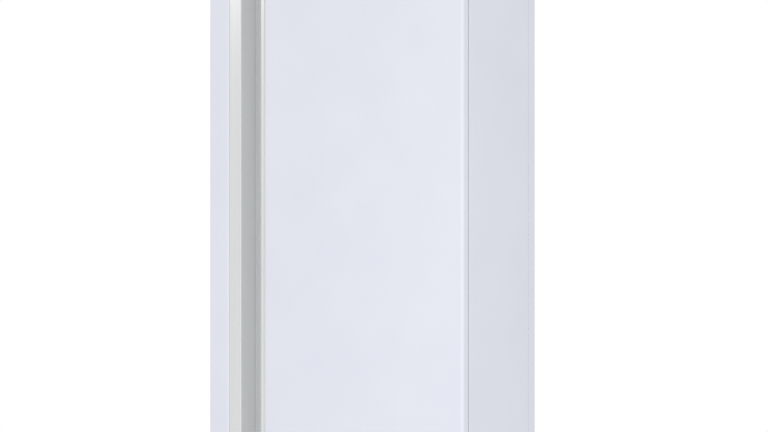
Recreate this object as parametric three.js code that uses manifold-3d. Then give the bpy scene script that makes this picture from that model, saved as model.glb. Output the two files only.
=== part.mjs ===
// Wall battery unit: a tall slim cabinet that hangs on a wall bracket. A painted post, an aluminium finger
// groove and a wide door make its front; two battery modules, a controller and switchgear sit behind them.
// Millimetres. +X is right, -Y is the front, +Z is up. The origin is on the wall, at the bracket's centre.
import * as THREE from 'three';
import { mergeVertices } from 'three/addons/utils/BufferGeometryUtils.js';
import Module from 'manifold-3d';

const wasm = await Module();
wasm.setup();

// Overall size
const WIDTH = 640;
const HEIGHT = 1370;
const DEPTH = 220;

// Sheet metal and the gaps between pieces
const SHEET = 2;
const BEND = 2.5;
const REAR_BEND = 0.8;
const SEAT = 0.4;
const RUN = 0.3;
const WALL_CLEARANCE = 1;
const REAR_RECESS = 18;
const FLANGE = 15;

// End caps
const CAP_HEIGHT = 30;
const CAP_MARGIN = 20;
const CAP_CORNER_RADIUS = 1;
const SOFFIT_LAP = 5;
const PLATE_DROP = 0.2;
const PLATE_CLEARANCE = 0.5;

// Front, from left to right
const POST_WIDTH = 50;
const POST_EDGE_RADIUS = 5;
const POST_CORNER_RADIUS = 3;
const POST_RETURN = 20;
const SIDE_RETURN = 22;
const POST_GAP = 1;
const LIP_WIDTH = 29;
const LIP_RETURN = 16;
const LIP_EDGE_RADIUS = 1;
const GROOVE_CORNER_RADIUS = 2;
const GROOVE_WIDTH = 51;
const GROOVE_DEPTH = 46;
const GRIP_LIP = 7.5;
const GRIP_GAP = 2.5;
const GRIP_HOOK = 8;
const GRIP_HOOK_RADIUS = 1.1;
const GRIP_WEB = 4.5;
const GRIP_STEP = 2.3;
const FINGER_ROOM = 21.5;
const CHANNEL_WALL = 2.5;
const CHANNEL_FLANGE = 17.5;

// Door and the frame that its seal closes on
const DOOR_DEPTH = 16.5;
const DOOR_EDGE_RADIUS = 6;
const DOOR_LEFT_RADIUS = 2.5;
const DOOR_GAP = 3;
const SIDE_REVEAL = 4;
const SEAL_WIDTH = 12;
const SEAL_THICKNESS = 7.8;
const FRAME_FLANGE = 38.6;
const FRAME_CLEARANCE = 2;
const FRAME_RIGHT_MARGIN = 42;
const FRAME_TOP_MARGIN = 12;
const FRAME_BOTTOM_MARGIN = 27;
const PANEL_BACK_RADIUS = 0.3;
const STIFFENER_MARGIN = 5;
const STIFFENER_END_MARGIN = 1.5;
const STIFFENER_HINGE_MARGIN = 13;
const STIFFENER_RIB = 15;
const STIFFENER_WINDOW_END = 45;
const STIFFENER_WINDOW_LEFT = 32;
const STIFFENER_WINDOW_RIGHT = 24;

// Pivot hinges
const HINGE_INSET_X = 5;
const HINGE_INSET_Y = 5.5;
const HINGE_PLATE = 3;
const HINGE_PLATE_REACH = 31;
const HINGE_PLATE_DEPTH = 50;
const HINGE_PLATE_RADIUS = 3;
const HINGE_PLATE_CLEARANCE = 0.6;
const PIN_RADIUS = 3;
const PIN_REACH = 24;
const PIN_HEAD = 1.6;
const PIN_HEAD_HEIGHT = 2;
const BUSH_CLEARANCE = 0.25;
const BUSH_RADIUS = 4.4;
const BUSH_LENGTH = 12;
const BUSH_FLANGE_RADIUS = 6.4;
const BUSH_FLANGE = 1.2;

// Quarter-turn latches
const LATCH_INSET_X = 24;
const LATCH_DROP = 132;
const BARREL_RADIUS = 11;
const BEZEL_RADIUS = 14;
const BEZEL_PROUD = 1.5;
const ROTOR_RADIUS = 8;
const CAM_LENGTH = 38;
const CAM_WIDTH = 16;
const CAM_THICKNESS = 3;
const CAM_TAIL = 8;
const CAM_CLEARANCE = 1;
const BARREL_RECESS = 1.4;
const LATCH_NUT_RIM = 5;
const LATCH_NUT_THICKNESS = 4;
const KEY_WELL_RADIUS = 6.2;
const KEY_WELL_DEPTH = 6;
const KEY_TRIANGLE_RADIUS = 4.6;

// Button and status light in the groove
const BUTTON_DROP = 30;
const BUTTON_RADIUS = 8;
const BUTTON_PROUD = 2.2;
const BUTTON_BACK = 7;
const BUTTON_SKIRT = 1.4;
const BUTTON_COLLAR = 2;
const BUTTON_RIM = 4.5;
const LENS_DROP = 92;
const LENS_LENGTH = 120;
const LENS_WIDTH = 8;
const LENS_FLANGE = 3;
const BOARD_DISTANCE = 12;
const BOARD_WIDTH = 32;
const BOARD_THICKNESS = 1.6;
const LAMP_PITCH = 20;
const LAMP_SIZE = 5;

// Wall bracket
const BRACKET_WIDTH = 400;
const BRACKET_HEIGHT = 900;
const BRACKET_SHEET = 3;
const HOOK_REACH = 12;
const HOOK_RISE = 21.6;
const BRACKET_SIDE = 50;
const BRACKET_END = 70;
const BRACKET_RIB = 50;
const FIXING_WIDTH = 9;
const FIXING_LENGTH = 18;
const FIXING_SIDE_MARGIN = 25;
const FIXING_END_MARGIN = 40;
const RAIL_END_MARGIN = 10;
const RAIL_HOOK_DROP = 14;
const RAIL_FACE_DROP = 70;
const RAIL_HOOK_CLEARANCE = 2.5;

// Plate inside, and its feet
const PLATE_STANDOFF = 6;
const PLATE_LEFT_MARGIN = 24;
const PLATE_RIGHT_MARGIN = 30;
const PLATE_END_MARGIN = 12;
const FOOT_RADIUS = 7;
const FOOT_SIDE_MARGIN = 20;
const FOOT_END_MARGIN = 30;

// Battery modules: they fill the width, the depth and the height that the other pieces leave
const MODULE_COUNT = 2;
const MODULE_SIDE_ROOM = 6;
const MODULE_GAP = 12;
const MODULE_WALL = 1.6;
const PLUG_ROOM = 20.9;
const SHELF_LIP = 10;
const SHELF_BACK = 24;
const SHELF_OVERHANG = 2;
const CELL_COLUMNS = 8;
const CELL_ROWS = 2;
const CELL_GAP = 0.6;
const CELL_MARGIN = 4;
const CELL_FRONT_ROOM = 14;
const CELL_BACK_ROOM = 8;
const HANDLE_HALF = 64;
const HANDLE_REACH = 24;
const HANDLE_BAR = 7;
const HANDLE_HEIGHT = 10;
const HANDLE_BEND = 9;
const SOCKET_INSET = 44;
const SOCKET_DROP = 30;
const SOCKET_HALF = 13;
const SOCKET_BASE = 8;
const SOCKET_COLLAR = 4;
const SOCKET_RADIUS = 10;

// Leads and their plugs
const LEAD_RADIUS = 4.5;
const PLUG_LENGTH = 16;
const PLUG_RADIUS = 9;
const PLUG_TAIL = 22;
const PLUG_TAIL_RADIUS = 7;

// Controller
const CONTROLLER_HEIGHT = 220;
const CONTROLLER_DEPTH = 100;
const CONTROLLER_SIDE_ROOM = 10;
const CONTROLLER_TOP_ROOM = 35;
const CONTROLLER_GAP = 43;
const CONTROLLER_BOARD_MARGIN = 16;
const CONTROLLER_BOARD_BACK = 24;
const CONTROLLER_BOARD_THICKNESS = 2;

// Switchgear, earth bar and glands
const RAIL_RISE_FROM_OPENING = 105;
const RAIL_SIDE_ROOM = 15;
const RAIL_RISE = 7;
const RAIL_HALF = 17.5;
const RAIL_TOP_HALF = 12.5;
const SWITCHGEAR_HEADROOM = 80;
const DEVICE_SEAT = 2;
const BREAKER_END_ROOM = 59;
const BREAKER_WIDTH = 36;
const BREAKER_DEPTH = 60;
const BREAKER_HALF_HEIGHT = 42.5;
const BREAKER_NOSE_HALF_HEIGHT = 22.5;
const BREAKER_SHOULDER = 16;
const LEVER_RADIUS = 7;
const LEVER_SINK = 6;
const LEVER_HALF_SLOT = 13;
const LEVER_LENGTH = 18;
const LEVER_REST_ANGLE = 35;
const ISOLATOR_SHIFT = -9;
const ISOLATOR_WIDTH = 90;
const ISOLATOR_HEIGHT = 100;
const ISOLATOR_DEPTH = 55;
const ISOLATOR_BOSS_RADIUS = 25;
const ISOLATOR_BOSS = 4;
const KNOB_RADIUS = 20;
const KNOB_DISC = 7;
const KNOB_GRIP = 20;
const KNOB_GRIP_HALF_WIDTH = 6;
const KNOB_GRIP_HALF_LENGTH = 19;
const SHAFT_RADIUS = 4;
const EARTH_BAR_RISE = 15;
const EARTH_BAR_HALF_LENGTH = 80;
const EARTH_BAR_HALF_HEIGHT = 6;
const EARTH_BAR_THICKNESS = 6;
const EARTH_BAR_STANDOFF = 6;
const EARTH_HOLE_PITCH = 25;
const EARTH_HOLE_RADIUS = 2.5;
const GLAND_PITCH = 115;
const GLAND_FROM_GROOVE = 54;
const GLAND_THREAD = 12.3;
const GLAND_BORE = 9;
const GLAND_HEX = 17.3;
const GLAND_HOLE_CLEARANCE = 0.5;

// Places that follow from the sizes
const LEFT = -WIDTH / 2;
const RIGHT = WIDTH / 2;
const FRONT = -DEPTH;
const TOP = HEIGHT / 2;
const SHELL_TOP = TOP - CAP_HEIGHT - SEAT;
const DOOR_TOP = TOP - CAP_HEIGHT - DOOR_GAP;
const PAN_FRONT = -(REAR_RECESS + SHEET);
const BODY_FRONT = FRONT + DOOR_DEPTH + SIDE_REVEAL;
const POST_RIGHT = LEFT + POST_WIDTH;
const LIP_LEFT = POST_RIGHT + POST_GAP;
const GROOVE_LEFT = LIP_LEFT + LIP_WIDTH;
const GROOVE_RIGHT = GROOVE_LEFT + GROOVE_WIDTH;
const GROOVE_CENTRE = (GROOVE_LEFT + GROOVE_RIGHT) / 2;
const GROOVE_FLOOR = FRONT + GROOVE_DEPTH;
const GROOVE_END = GROOVE_RIGHT + FINGER_ROOM;
const GRIP_RIGHT = GROOVE_RIGHT + GRIP_LIP;
const DOOR_LEFT = GRIP_RIGHT + GRIP_GAP;
const STIFFENER_FRONT = FRONT + SHEET + SEAT;
const SEAL_FRONT = STIFFENER_FRONT + SHEET + SEAT;
const RIM_FRONT = SEAL_FRONT + SEAL_THICKNESS + SEAT;
const FRAME_FRONT = BODY_FRONT + CHANNEL_WALL + SEAT;
const FRAME_BACK = FRAME_FRONT + SHEET;
const FRAME_LEFT = GROOVE_END + CHANNEL_WALL + SEAT;
const FRAME_RIGHT = RIGHT - SHEET - FRAME_CLEARANCE;
const OPENING = {
  left: FRAME_LEFT + FRAME_FLANGE,
  right: FRAME_RIGHT - FRAME_RIGHT_MARGIN,
  top: DOOR_TOP - FRAME_TOP_MARGIN,
  bottom: -DOOR_TOP + FRAME_BOTTOM_MARGIN,
};
const OPENING_CENTRE = (OPENING.left + OPENING.right) / 2;
const HINGE_X = RIGHT - SHEET - HINGE_INSET_X;
const HINGE_Y = FRONT + SHEET + HINGE_INSET_Y;
const HINGE_PLATE_LOW = SHELL_TOP + PLATE_DROP;
const HINGE_PLATE_HIGH = HINGE_PLATE_LOW + HINGE_PLATE;
const LATCH_X = OPENING.left + LATCH_INSET_X;
const LATCH_HEIGHT = DOOR_TOP - LATCH_DROP;
const LENS_HEIGHT = DOOR_TOP - LENS_DROP;
const BUTTON_HEIGHT = LENS_HEIGHT - LENS_LENGTH / 2 - BUTTON_DROP;
const PLATE_BACK = PAN_FRONT - PLATE_STANDOFF;
const PLATE_FRONT = PLATE_BACK - SHEET;
const INNER_BACK = PLATE_FRONT - SEAT;
const MODULE_BACK = INNER_BACK - SHEET - SEAT;
const MODULE_WIDTH = OPENING.right - OPENING.left - 2 * MODULE_SIDE_ROOM;
const MODULE_FRONT_PLATE = 2.5;
const MODULE_FACE = FRAME_BACK + PLUG_ROOM - MODULE_BACK;
const MODULE_DEPTH = -MODULE_FACE - SEAT - MODULE_FRONT_PLATE;
const RAIL_HEIGHT = OPENING.bottom + RAIL_RISE_FROM_OPENING;
const CONTROLLER_WIDTH = OPENING.right - OPENING.left - 2 * CONTROLLER_SIDE_ROOM;
const CONTROLLER_BASE = OPENING.top - CONTROLLER_TOP_ROOM - CONTROLLER_HEIGHT;
const LOWEST_MODULE = RAIL_HEIGHT + ISOLATOR_HEIGHT / 2 + SWITCHGEAR_HEADROOM;
const MODULE_PITCH = (CONTROLLER_BASE - CONTROLLER_GAP - LOWEST_MODULE + MODULE_GAP) / MODULE_COUNT;
const MODULE_HEIGHT = MODULE_PITCH - MODULE_GAP;
const MODULE_BASES = Array.from({ length: MODULE_COUNT }, (_, i) => LOWEST_MODULE + i * MODULE_PITCH);
const SOCKET_SPREAD = MODULE_WIDTH / 2 - SOCKET_INSET;
const SOCKET_FACE = MODULE_BACK + MODULE_FACE - SOCKET_BASE - SOCKET_COLLAR - 2 * RUN;
const PLUG_CENTRE = SOCKET_FACE - PLUG_LENGTH / 2;
const RAIL_LENGTH = OPENING.right - OPENING.left - 2 * RAIL_SIDE_ROOM;
const RAIL_BACK = INNER_BACK - 1;
const RAIL_FRONT = RAIL_BACK - RAIL_RISE;
const DEVICE_BACK = RAIL_FRONT - DEVICE_SEAT;
const TERMINAL_Y = DEVICE_BACK - 37.6;
const BREAKER_X = OPENING_CENTRE + RAIL_LENGTH / 2 - BREAKER_END_ROOM;
const BREAKER_FRONT = DEVICE_BACK - BREAKER_DEPTH;
const LEVER_Y = BREAKER_FRONT + LEVER_SINK;
const ISOLATOR_X = OPENING_CENTRE + ISOLATOR_SHIFT;
const EARTH_BAR_HEIGHT = OPENING.bottom + EARTH_BAR_RISE;
const GLAND_XS = [-1, 0, 1].map((step) => OPENING_CENTRE + step * GLAND_PITCH);
const GLAND_Y = GROOVE_FLOOR + GLAND_FROM_GROOVE;

// Materials
function paint(color) {
  return new THREE.MeshStandardMaterial({ color, roughness: 0.55, metalness: 0 });
}

function anodised() {
  return new THREE.MeshStandardMaterial({ color: 0xc9cbcc, roughness: 0.45, metalness: 0.9 });
}

function zincSteel() {
  return new THREE.MeshStandardMaterial({ color: 0xaeb2b5, roughness: 0.4, metalness: 0.9 });
}

function steel() {
  return new THREE.MeshStandardMaterial({ color: 0xbfc1c3, roughness: 0.3, metalness: 1 });
}

function plastic(color) {
  return new THREE.MeshStandardMaterial({ color, roughness: 0.6, metalness: 0 });
}

function rubber() {
  return new THREE.MeshStandardMaterial({ color: 0x1d1d1f, roughness: 0.9, metalness: 0 });
}

function brass() {
  return new THREE.MeshStandardMaterial({ color: 0xc2a25a, roughness: 0.35, metalness: 1 });
}

const WHITE = 0xe6e8ee;
const CHARCOAL = 0x33363a;
const BLACK = 0x1b1c1e;
const LIGHT_GREY = 0xc8cacc;
const RED = 0xb3261e;
const BOARD_GREEN = 0x1f5a3a;

// Solids and booleans
function solidOf(geometry) {
  const plain = geometry.clone();
  plain.deleteAttribute('normal');
  plain.deleteAttribute('uv');
  const merged = mergeVertices(plain, 1e-4);
  return new wasm.Manifold(new wasm.Mesh({
    numProp: 3,
    vertProperties: new Float32Array(merged.attributes.position.array),
    triVerts: new Uint32Array(merged.index.array),
  }));
}

function geometryOf(solid) {
  const mesh = solid.getMesh();
  const geometry = new THREE.BufferGeometry();
  geometry.setAttribute('position', new THREE.BufferAttribute(mesh.vertProperties, 3));
  geometry.setIndex(new THREE.BufferAttribute(mesh.triVerts, 1));
  return geometry;
}

function join(...geometries) {
  return geometryOf(geometries.map(solidOf).reduce((whole, piece) => whole.add(piece)));
}

function cut(geometry, ...tools) {
  return geometryOf(tools.map(solidOf).reduce((whole, tool) => whole.subtract(tool), solidOf(geometry)));
}

// The same solid upside down, mirrored in the Z = 0 plane
function turnedOver(geometry) {
  const flipped = geometry.clone().scale(1, 1, -1);
  flipped.setIndex(Array.from(flipped.index.array).reverse());
  return flipped;
}

// A box between two X, two Y and two Z values
function block([x0, x1], [y0, y1], [z0, z1]) {
  const box = new THREE.BoxGeometry(Math.abs(x1 - x0), Math.abs(y1 - y0), Math.abs(z1 - z0));
  return box.translate((x0 + x1) / 2, (y0 + y1) / 2, (z0 + z1) / 2);
}

// Round bars and turned pieces along Z or Y, from one end to the other
function rodZ(radius, [z0, z1], [x, y], sides = 20) {
  const bar = new THREE.CylinderGeometry(radius, radius, Math.abs(z1 - z0), sides);
  return bar.rotateX(Math.PI / 2).translate(x, y, (z0 + z1) / 2);
}

function rodY(radius, [y0, y1], [x, z], sides = 20) {
  const bar = new THREE.CylinderGeometry(radius, radius, Math.abs(y1 - y0), sides);
  return bar.translate(x, (y0 + y1) / 2, z);
}

function rodX(radius, [x0, x1], [y, z], sides = 20) {
  const bar = new THREE.CylinderGeometry(radius, radius, Math.abs(x1 - x0), sides);
  return bar.rotateZ(Math.PI / 2).translate((x0 + x1) / 2, y, z);
}

function turnedZ(profile, sides = 20) {
  const points = profile.map(([radius, z]) => new THREE.Vector2(radius, z));
  return new THREE.LatheGeometry(points, sides).rotateX(Math.PI / 2);
}

// Flat shapes pushed along an axis. An X-Z shape is pushed forward, a Y-Z shape to the right.
function pushZ(shape, z0, z1) {
  const options = { depth: z1 - z0, bevelEnabled: false, curveSegments: 3 };
  return new THREE.ExtrudeGeometry(shape, options).translate(0, 0, z0);
}

function pushForward(shape, yBack, yFront) {
  const options = { depth: yBack - yFront, bevelEnabled: false, curveSegments: 3 };
  const basis = new THREE.Matrix4().makeBasis(
    new THREE.Vector3(1, 0, 0), new THREE.Vector3(0, 0, 1), new THREE.Vector3(0, -1, 0));
  return new THREE.ExtrudeGeometry(shape, options).applyMatrix4(basis).translate(0, yBack, 0);
}

function pushRight(shape, x0, x1) {
  const options = { depth: x1 - x0, bevelEnabled: false, curveSegments: 3 };
  const basis = new THREE.Matrix4().makeBasis(
    new THREE.Vector3(0, 1, 0), new THREE.Vector3(0, 0, 1), new THREE.Vector3(1, 0, 0));
  return new THREE.ExtrudeGeometry(shape, options).applyMatrix4(basis).translate(x0, 0, 0);
}

function leftOf(direction) {
  return new THREE.Vector2(-direction.y, direction.x);
}

// Outline of a bent sheet. The path, of [x, y, bend radius], is one face, and the metal lies to its left.
function bentSheet(path, thickness, arcSteps = 4) {
  const corners = path.map(([x, y]) => new THREE.Vector2(x, y));
  const near = [];
  const far = [];
  corners.forEach((corner, i) => {
    const before = i > 0 ? corner.clone().sub(corners[i - 1]).normalize() : null;
    const after = i < corners.length - 1 ? corners[i + 1].clone().sub(corner).normalize() : null;
    if (!before || !after) {
      near.push(corner);
      far.push(corner.clone().addScaledVector(leftOf(before ?? after), thickness));
      return;
    }
    const radius = path[i][2] ?? 0;
    const side = Math.sign(before.cross(after));
    const angle = Math.acos(THREE.MathUtils.clamp(before.dot(after), -1, 1));
    const normal = leftOf(before);
    const centre = corner.clone().addScaledVector(before, -radius * Math.tan(angle / 2));
    centre.addScaledVector(normal, side * radius);
    const farRadius = radius - side * thickness;
    const mitre = normal.clone().add(leftOf(after)).multiplyScalar(thickness / (1 + Math.cos(angle)));
    const bend = (distance) => Array.from({ length: arcSteps + 1 }, (_, k) => {
      const turned = normal.clone().rotateAround(new THREE.Vector2(), side * angle * k / arcSteps);
      return centre.clone().addScaledVector(turned, -side * distance);
    });
    near.push(...(radius > 0 ? bend(radius) : [corner]));
    far.push(...(radius > 0 && farRadius > 0 ? bend(farRadius) : [corner.clone().add(mitre)]));
  });
  return new THREE.Shape([...near, ...far.reverse()]);
}

// A rectangle with a radius for each corner: front left, front right, back right, back left
function roundedPlan([x0, x1], [y0, y1], [frontLeft, frontRight, backRight, backLeft]) {
  const shape = new THREE.Shape();
  shape.absarc(x0 + frontLeft, y0 + frontLeft, frontLeft, Math.PI, 1.5 * Math.PI);
  shape.absarc(x1 - frontRight, y0 + frontRight, frontRight, 1.5 * Math.PI, 2 * Math.PI);
  shape.absarc(x1 - backRight, y1 - backRight, backRight, 0, 0.5 * Math.PI);
  shape.absarc(x0 + backLeft, y1 - backLeft, backLeft, 0.5 * Math.PI, Math.PI);
  return shape;
}

// An upright slot with round ends, centred on x, z
function slotShape(x, z, width, length) {
  const shape = new THREE.Shape();
  const reach = (length - width) / 2;
  shape.absarc(x, z + reach, width / 2, 0, Math.PI);
  shape.absarc(x, z - reach, width / 2, Math.PI, 2 * Math.PI);
  return shape;
}

function part(name, geometry, material, [x, y, z] = [0, 0, 0]) {
  const mesh = new THREE.Mesh(geometry, material);
  mesh.name = name;
  mesh.position.set(x, y, z);
  return mesh;
}

// Wall bracket and the rail that hangs on it
function wallBracket() {
  const top = BRACKET_HEIGHT / 2;
  const bent = bentSheet([
    [0, -top], [0, top, 4], [-HOOK_REACH, top, 1.5], [-HOOK_REACH, top + HOOK_RISE],
  ], BRACKET_SHEET);
  const half = BRACKET_WIDTH / 2;
  const windowX = [-half + BRACKET_SIDE, half - BRACKET_SIDE];
  const through = [-BRACKET_SHEET - 1, 1];
  const windows = [-1, 1].map((side) => (
    block(windowX, through, [side * BRACKET_RIB, side * (top - BRACKET_END)])));
  const holes = [-1, 1].flatMap((side) => [-1, 0, 1].map((row) => {
    const x = side * (half - FIXING_SIDE_MARGIN);
    const z = row * (top - FIXING_END_MARGIN);
    return pushForward(slotShape(x, z, FIXING_WIDTH, FIXING_LENGTH), through[1], through[0]);
  }));
  return part('wall_bracket', cut(pushRight(bent, -half, half), ...windows, ...holes), zincSteel());
}

function hangerRail() {
  const rest = BRACKET_HEIGHT / 2 + HOOK_RISE + SEAT;
  const rear = -BRACKET_SHEET - RAIL_HOOK_CLEARANCE;
  const face = -REAR_RECESS + SEAT;
  const half = BRACKET_WIDTH / 2 - RAIL_END_MARGIN;
  const bent = bentSheet([
    [rear, rest - RAIL_HOOK_DROP], [rear, rest + SHEET, BEND],
    [face, rest + SHEET, BEND], [face, rest - RAIL_FACE_DROP],
  ], SHEET);
  return part('hanger_rail', pushRight(bent, -half, half), zincSteel());
}

// Painted shell
function backPan() {
  const outer = block([LEFT, RIGHT], [PAN_FRONT, -WALL_CLEARANCE], [-SHELL_TOP, SHELL_TOP]);
  const insideX = [LEFT + SHEET, RIGHT - SHEET];
  const inner = block(insideX, [-REAR_RECESS, SHEET], [-SHELL_TOP + SHEET, SHELL_TOP - SHEET]);
  return part('back_pan', cut(outer, inner), paint(WHITE));
}

function leftPost() {
  const rear = PAN_FRONT - SEAT;
  const bent = bentSheet([
    [LEFT + FLANGE, rear], [LEFT, rear, REAR_BEND], [LEFT, FRONT, POST_CORNER_RADIUS],
    [POST_RIGHT, FRONT, POST_EDGE_RADIUS], [POST_RIGHT, FRONT + POST_RETURN],
  ], SHEET);
  return part('left_post', pushZ(bent, -SHELL_TOP, SHELL_TOP), paint(WHITE));
}

function rightSidePanel() {
  const rear = PAN_FRONT - SEAT;
  const bent = bentSheet([
    [RIGHT - SIDE_RETURN, BODY_FRONT], [RIGHT, BODY_FRONT, BEND], [RIGHT, rear, REAR_BEND],
    [RIGHT - FLANGE, rear],
  ], SHEET);
  return part('right_side_panel', pushZ(bent, -SHELL_TOP, SHELL_TOP), paint(WHITE));
}

function gripChannel() {
  const bent = bentSheet([
    [LIP_LEFT, FRONT + LIP_RETURN], [LIP_LEFT, FRONT, LIP_EDGE_RADIUS],
    [GROOVE_LEFT, FRONT, LIP_EDGE_RADIUS + 0.5], [GROOVE_LEFT, GROOVE_FLOOR, GROOVE_CORNER_RADIUS],
    [GROOVE_END, GROOVE_FLOOR, GROOVE_CORNER_RADIUS], [GROOVE_END, BODY_FRONT, LIP_EDGE_RADIUS],
    [GROOVE_END + CHANNEL_FLANGE, BODY_FRONT],
  ], CHANNEL_WALL);
  const through = [GROOVE_FLOOR - 1, GROOVE_FLOOR + CHANNEL_WALL + 1];
  const lensShape = slotShape(GROOVE_CENTRE, LENS_HEIGHT, LENS_WIDTH + 2 * RUN, LENS_LENGTH + 2 * RUN);
  const lensSlot = pushForward(lensShape, through[1], through[0]);
  const buttonHole = rodY(BUTTON_RADIUS + BUTTON_COLLAR + SEAT, through, [GROOVE_CENTRE, BUTTON_HEIGHT]);
  const extrusion = pushZ(bent, -SHELL_TOP, SHELL_TOP);
  return part('grip_channel', cut(extrusion, lensSlot, buttonHole), anodised());
}

function doorFrame() {
  const top = SHELL_TOP - PLATE_DROP - SHEET - SEAT;
  const flange = block([FRAME_LEFT, FRAME_RIGHT], [FRAME_FRONT, FRAME_BACK], [-top, top]);
  const rimX = [OPENING.left - SHEET, OPENING.right + SHEET];
  const rimZ = [OPENING.bottom - SHEET, OPENING.top + SHEET];
  const rim = block(rimX, [RIM_FRONT, FRAME_BACK], rimZ);
  const opening = block(
    [OPENING.left, OPENING.right], [RIM_FRONT - 1, FRAME_BACK + 1], [OPENING.bottom, OPENING.top]);
  return part('door_frame', cut(join(flange, rim), opening), paint(WHITE));
}

// Roof and floor plates fill the shell between the panels, and clear the channel
function endPlate() {
  const x = [LEFT + SHEET + PLATE_CLEARANCE, RIGHT - SHEET - PLATE_CLEARANCE];
  const y = [BODY_FRONT + SHEET + 2 * PLATE_CLEARANCE, PAN_FRONT - SHEET - 2 * SEAT];
  const plate = block(x, y, [SHELL_TOP - PLATE_DROP - SHEET, SHELL_TOP - PLATE_DROP]);
  const channelX = [GROOVE_LEFT - CHANNEL_WALL - SEAT, GROOVE_END + CHANNEL_WALL + SEAT];
  const channelY = [FRONT, GROOVE_FLOOR + CHANNEL_WALL + SEAT];
  return cut(plate, block(channelX, channelY, [SHELL_TOP - 10, SHELL_TOP + 10]));
}

function roofPlate() {
  return part('roof_plate', endPlate(), paint(WHITE));
}

function glandPlate() {
  const through = [-SHELL_TOP - 5, -SHELL_TOP + 5];
  const holes = GLAND_XS.map((x) => rodZ(GLAND_THREAD + GLAND_HOLE_CLEARANCE, through, [x, GLAND_Y]));
  const plate = endPlate().translate(0, 0, -2 * (SHELL_TOP - PLATE_DROP) + SHEET);
  return part('gland_plate', cut(plate, ...holes), paint(WHITE));
}

// A cap is an open box, with a soffit along its front that closes the groove's end and the door's gap
function capShell() {
  const back = -WALL_CLEARANCE;
  const outer = roundedPlan([LEFT, RIGHT], [FRONT, back],
    [POST_CORNER_RADIUS, DOOR_EDGE_RADIUS, CAP_CORNER_RADIUS, CAP_CORNER_RADIUS]);
  const inner = roundedPlan([LEFT + SHEET, RIGHT - SHEET], [FRONT + SHEET, back - SHEET],
    [POST_CORNER_RADIUS - SHEET, DOOR_EDGE_RADIUS - SHEET, CAP_CORNER_RADIUS / 2, CAP_CORNER_RADIUS / 2]);
  const low = TOP - CAP_HEIGHT;
  const shell = cut(pushZ(outer, low, TOP), pushZ(inner, low - 1, TOP - SHEET));
  const soffitX = [LEFT + SHEET / 2, HINGE_X - HINGE_PLATE_REACH - 1];
  const soffitY = [FRONT + SHEET / 2, GROOVE_FLOOR + CHANNEL_WALL + SOFFIT_LAP];
  return join(shell, block(soffitX, soffitY, [low, low + SHEET]));
}

function topCap() {
  return part('top_cap', capShell(), paint(WHITE));
}

function baseTrim() {
  const shell = turnedOver(capShell());
  const openX = [LEFT + CAP_MARGIN, RIGHT - CAP_MARGIN];
  const opening = block(openX, [FRONT + CAP_MARGIN, -CAP_MARGIN], [-TOP - 1, -TOP + SHEET + 1]);
  return part('base_trim', cut(shell, opening), paint(WHITE));
}

// Hinges, the same at the top and, turned over, at the bottom
function hingeBracket() {
  const x = [HINGE_X - HINGE_PLATE_REACH, RIGHT - SHEET - HINGE_PLATE_CLEARANCE];
  const y = [FRONT + SHEET + HINGE_PLATE_CLEARANCE, BODY_FRONT + HINGE_PLATE_DEPTH];
  const radius = HINGE_PLATE_RADIUS;
  const plan = roundedPlan(x, y, [radius, DOOR_EDGE_RADIUS - 1, radius, radius]);
  const pinHole = rodZ(PIN_RADIUS + RUN, [HINGE_PLATE_LOW - 1, HINGE_PLATE_HIGH + 1], [HINGE_X, HINGE_Y]);
  return cut(pushZ(plan, HINGE_PLATE_LOW, HINGE_PLATE_HIGH), pinHole);
}

function hingePin() {
  const seat = HINGE_PLATE_HIGH + RUN;
  const crown = seat + PIN_HEAD_HEIGHT;
  return turnedZ([
    [0, DOOR_TOP - PIN_REACH], [PIN_RADIUS - 1, DOOR_TOP - PIN_REACH],
    [PIN_RADIUS, DOOR_TOP - PIN_REACH + 1], [PIN_RADIUS, seat], [PIN_RADIUS + PIN_HEAD, seat],
    [PIN_RADIUS + PIN_HEAD, crown - 0.5], [PIN_RADIUS + PIN_HEAD - 0.4, crown], [0, crown],
  ]);
}

function hingeBush() {
  const bore = PIN_RADIUS + BUSH_CLEARANCE;
  const seat = DOOR_TOP + RUN;
  return turnedZ([
    [bore, seat - BUSH_LENGTH], [BUSH_RADIUS, seat - BUSH_LENGTH], [BUSH_RADIUS, seat],
    [BUSH_FLANGE_RADIUS, seat], [BUSH_FLANGE_RADIUS, seat + BUSH_FLANGE], [bore, seat + BUSH_FLANGE],
    [bore, seat - BUSH_LENGTH],
  ]);
}

function hingeAt(end) {
  const way = end === 'top' ? 1 : -1;
  const upright = (geometry) => (way > 0 ? geometry : turnedOver(geometry));
  const group = new THREE.Group();
  group.add(part(`hinge_bracket_${end}`, upright(hingeBracket()), zincSteel()));
  group.add(part(`hinge_pin_${end}`, upright(hingePin()), steel(), [HINGE_X, HINGE_Y, 0]));
  group.add(part(`hinge_bush_${end}`, upright(hingeBush()), plastic(BLACK), [HINGE_X, HINGE_Y, 0]));
  return group;
}

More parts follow.
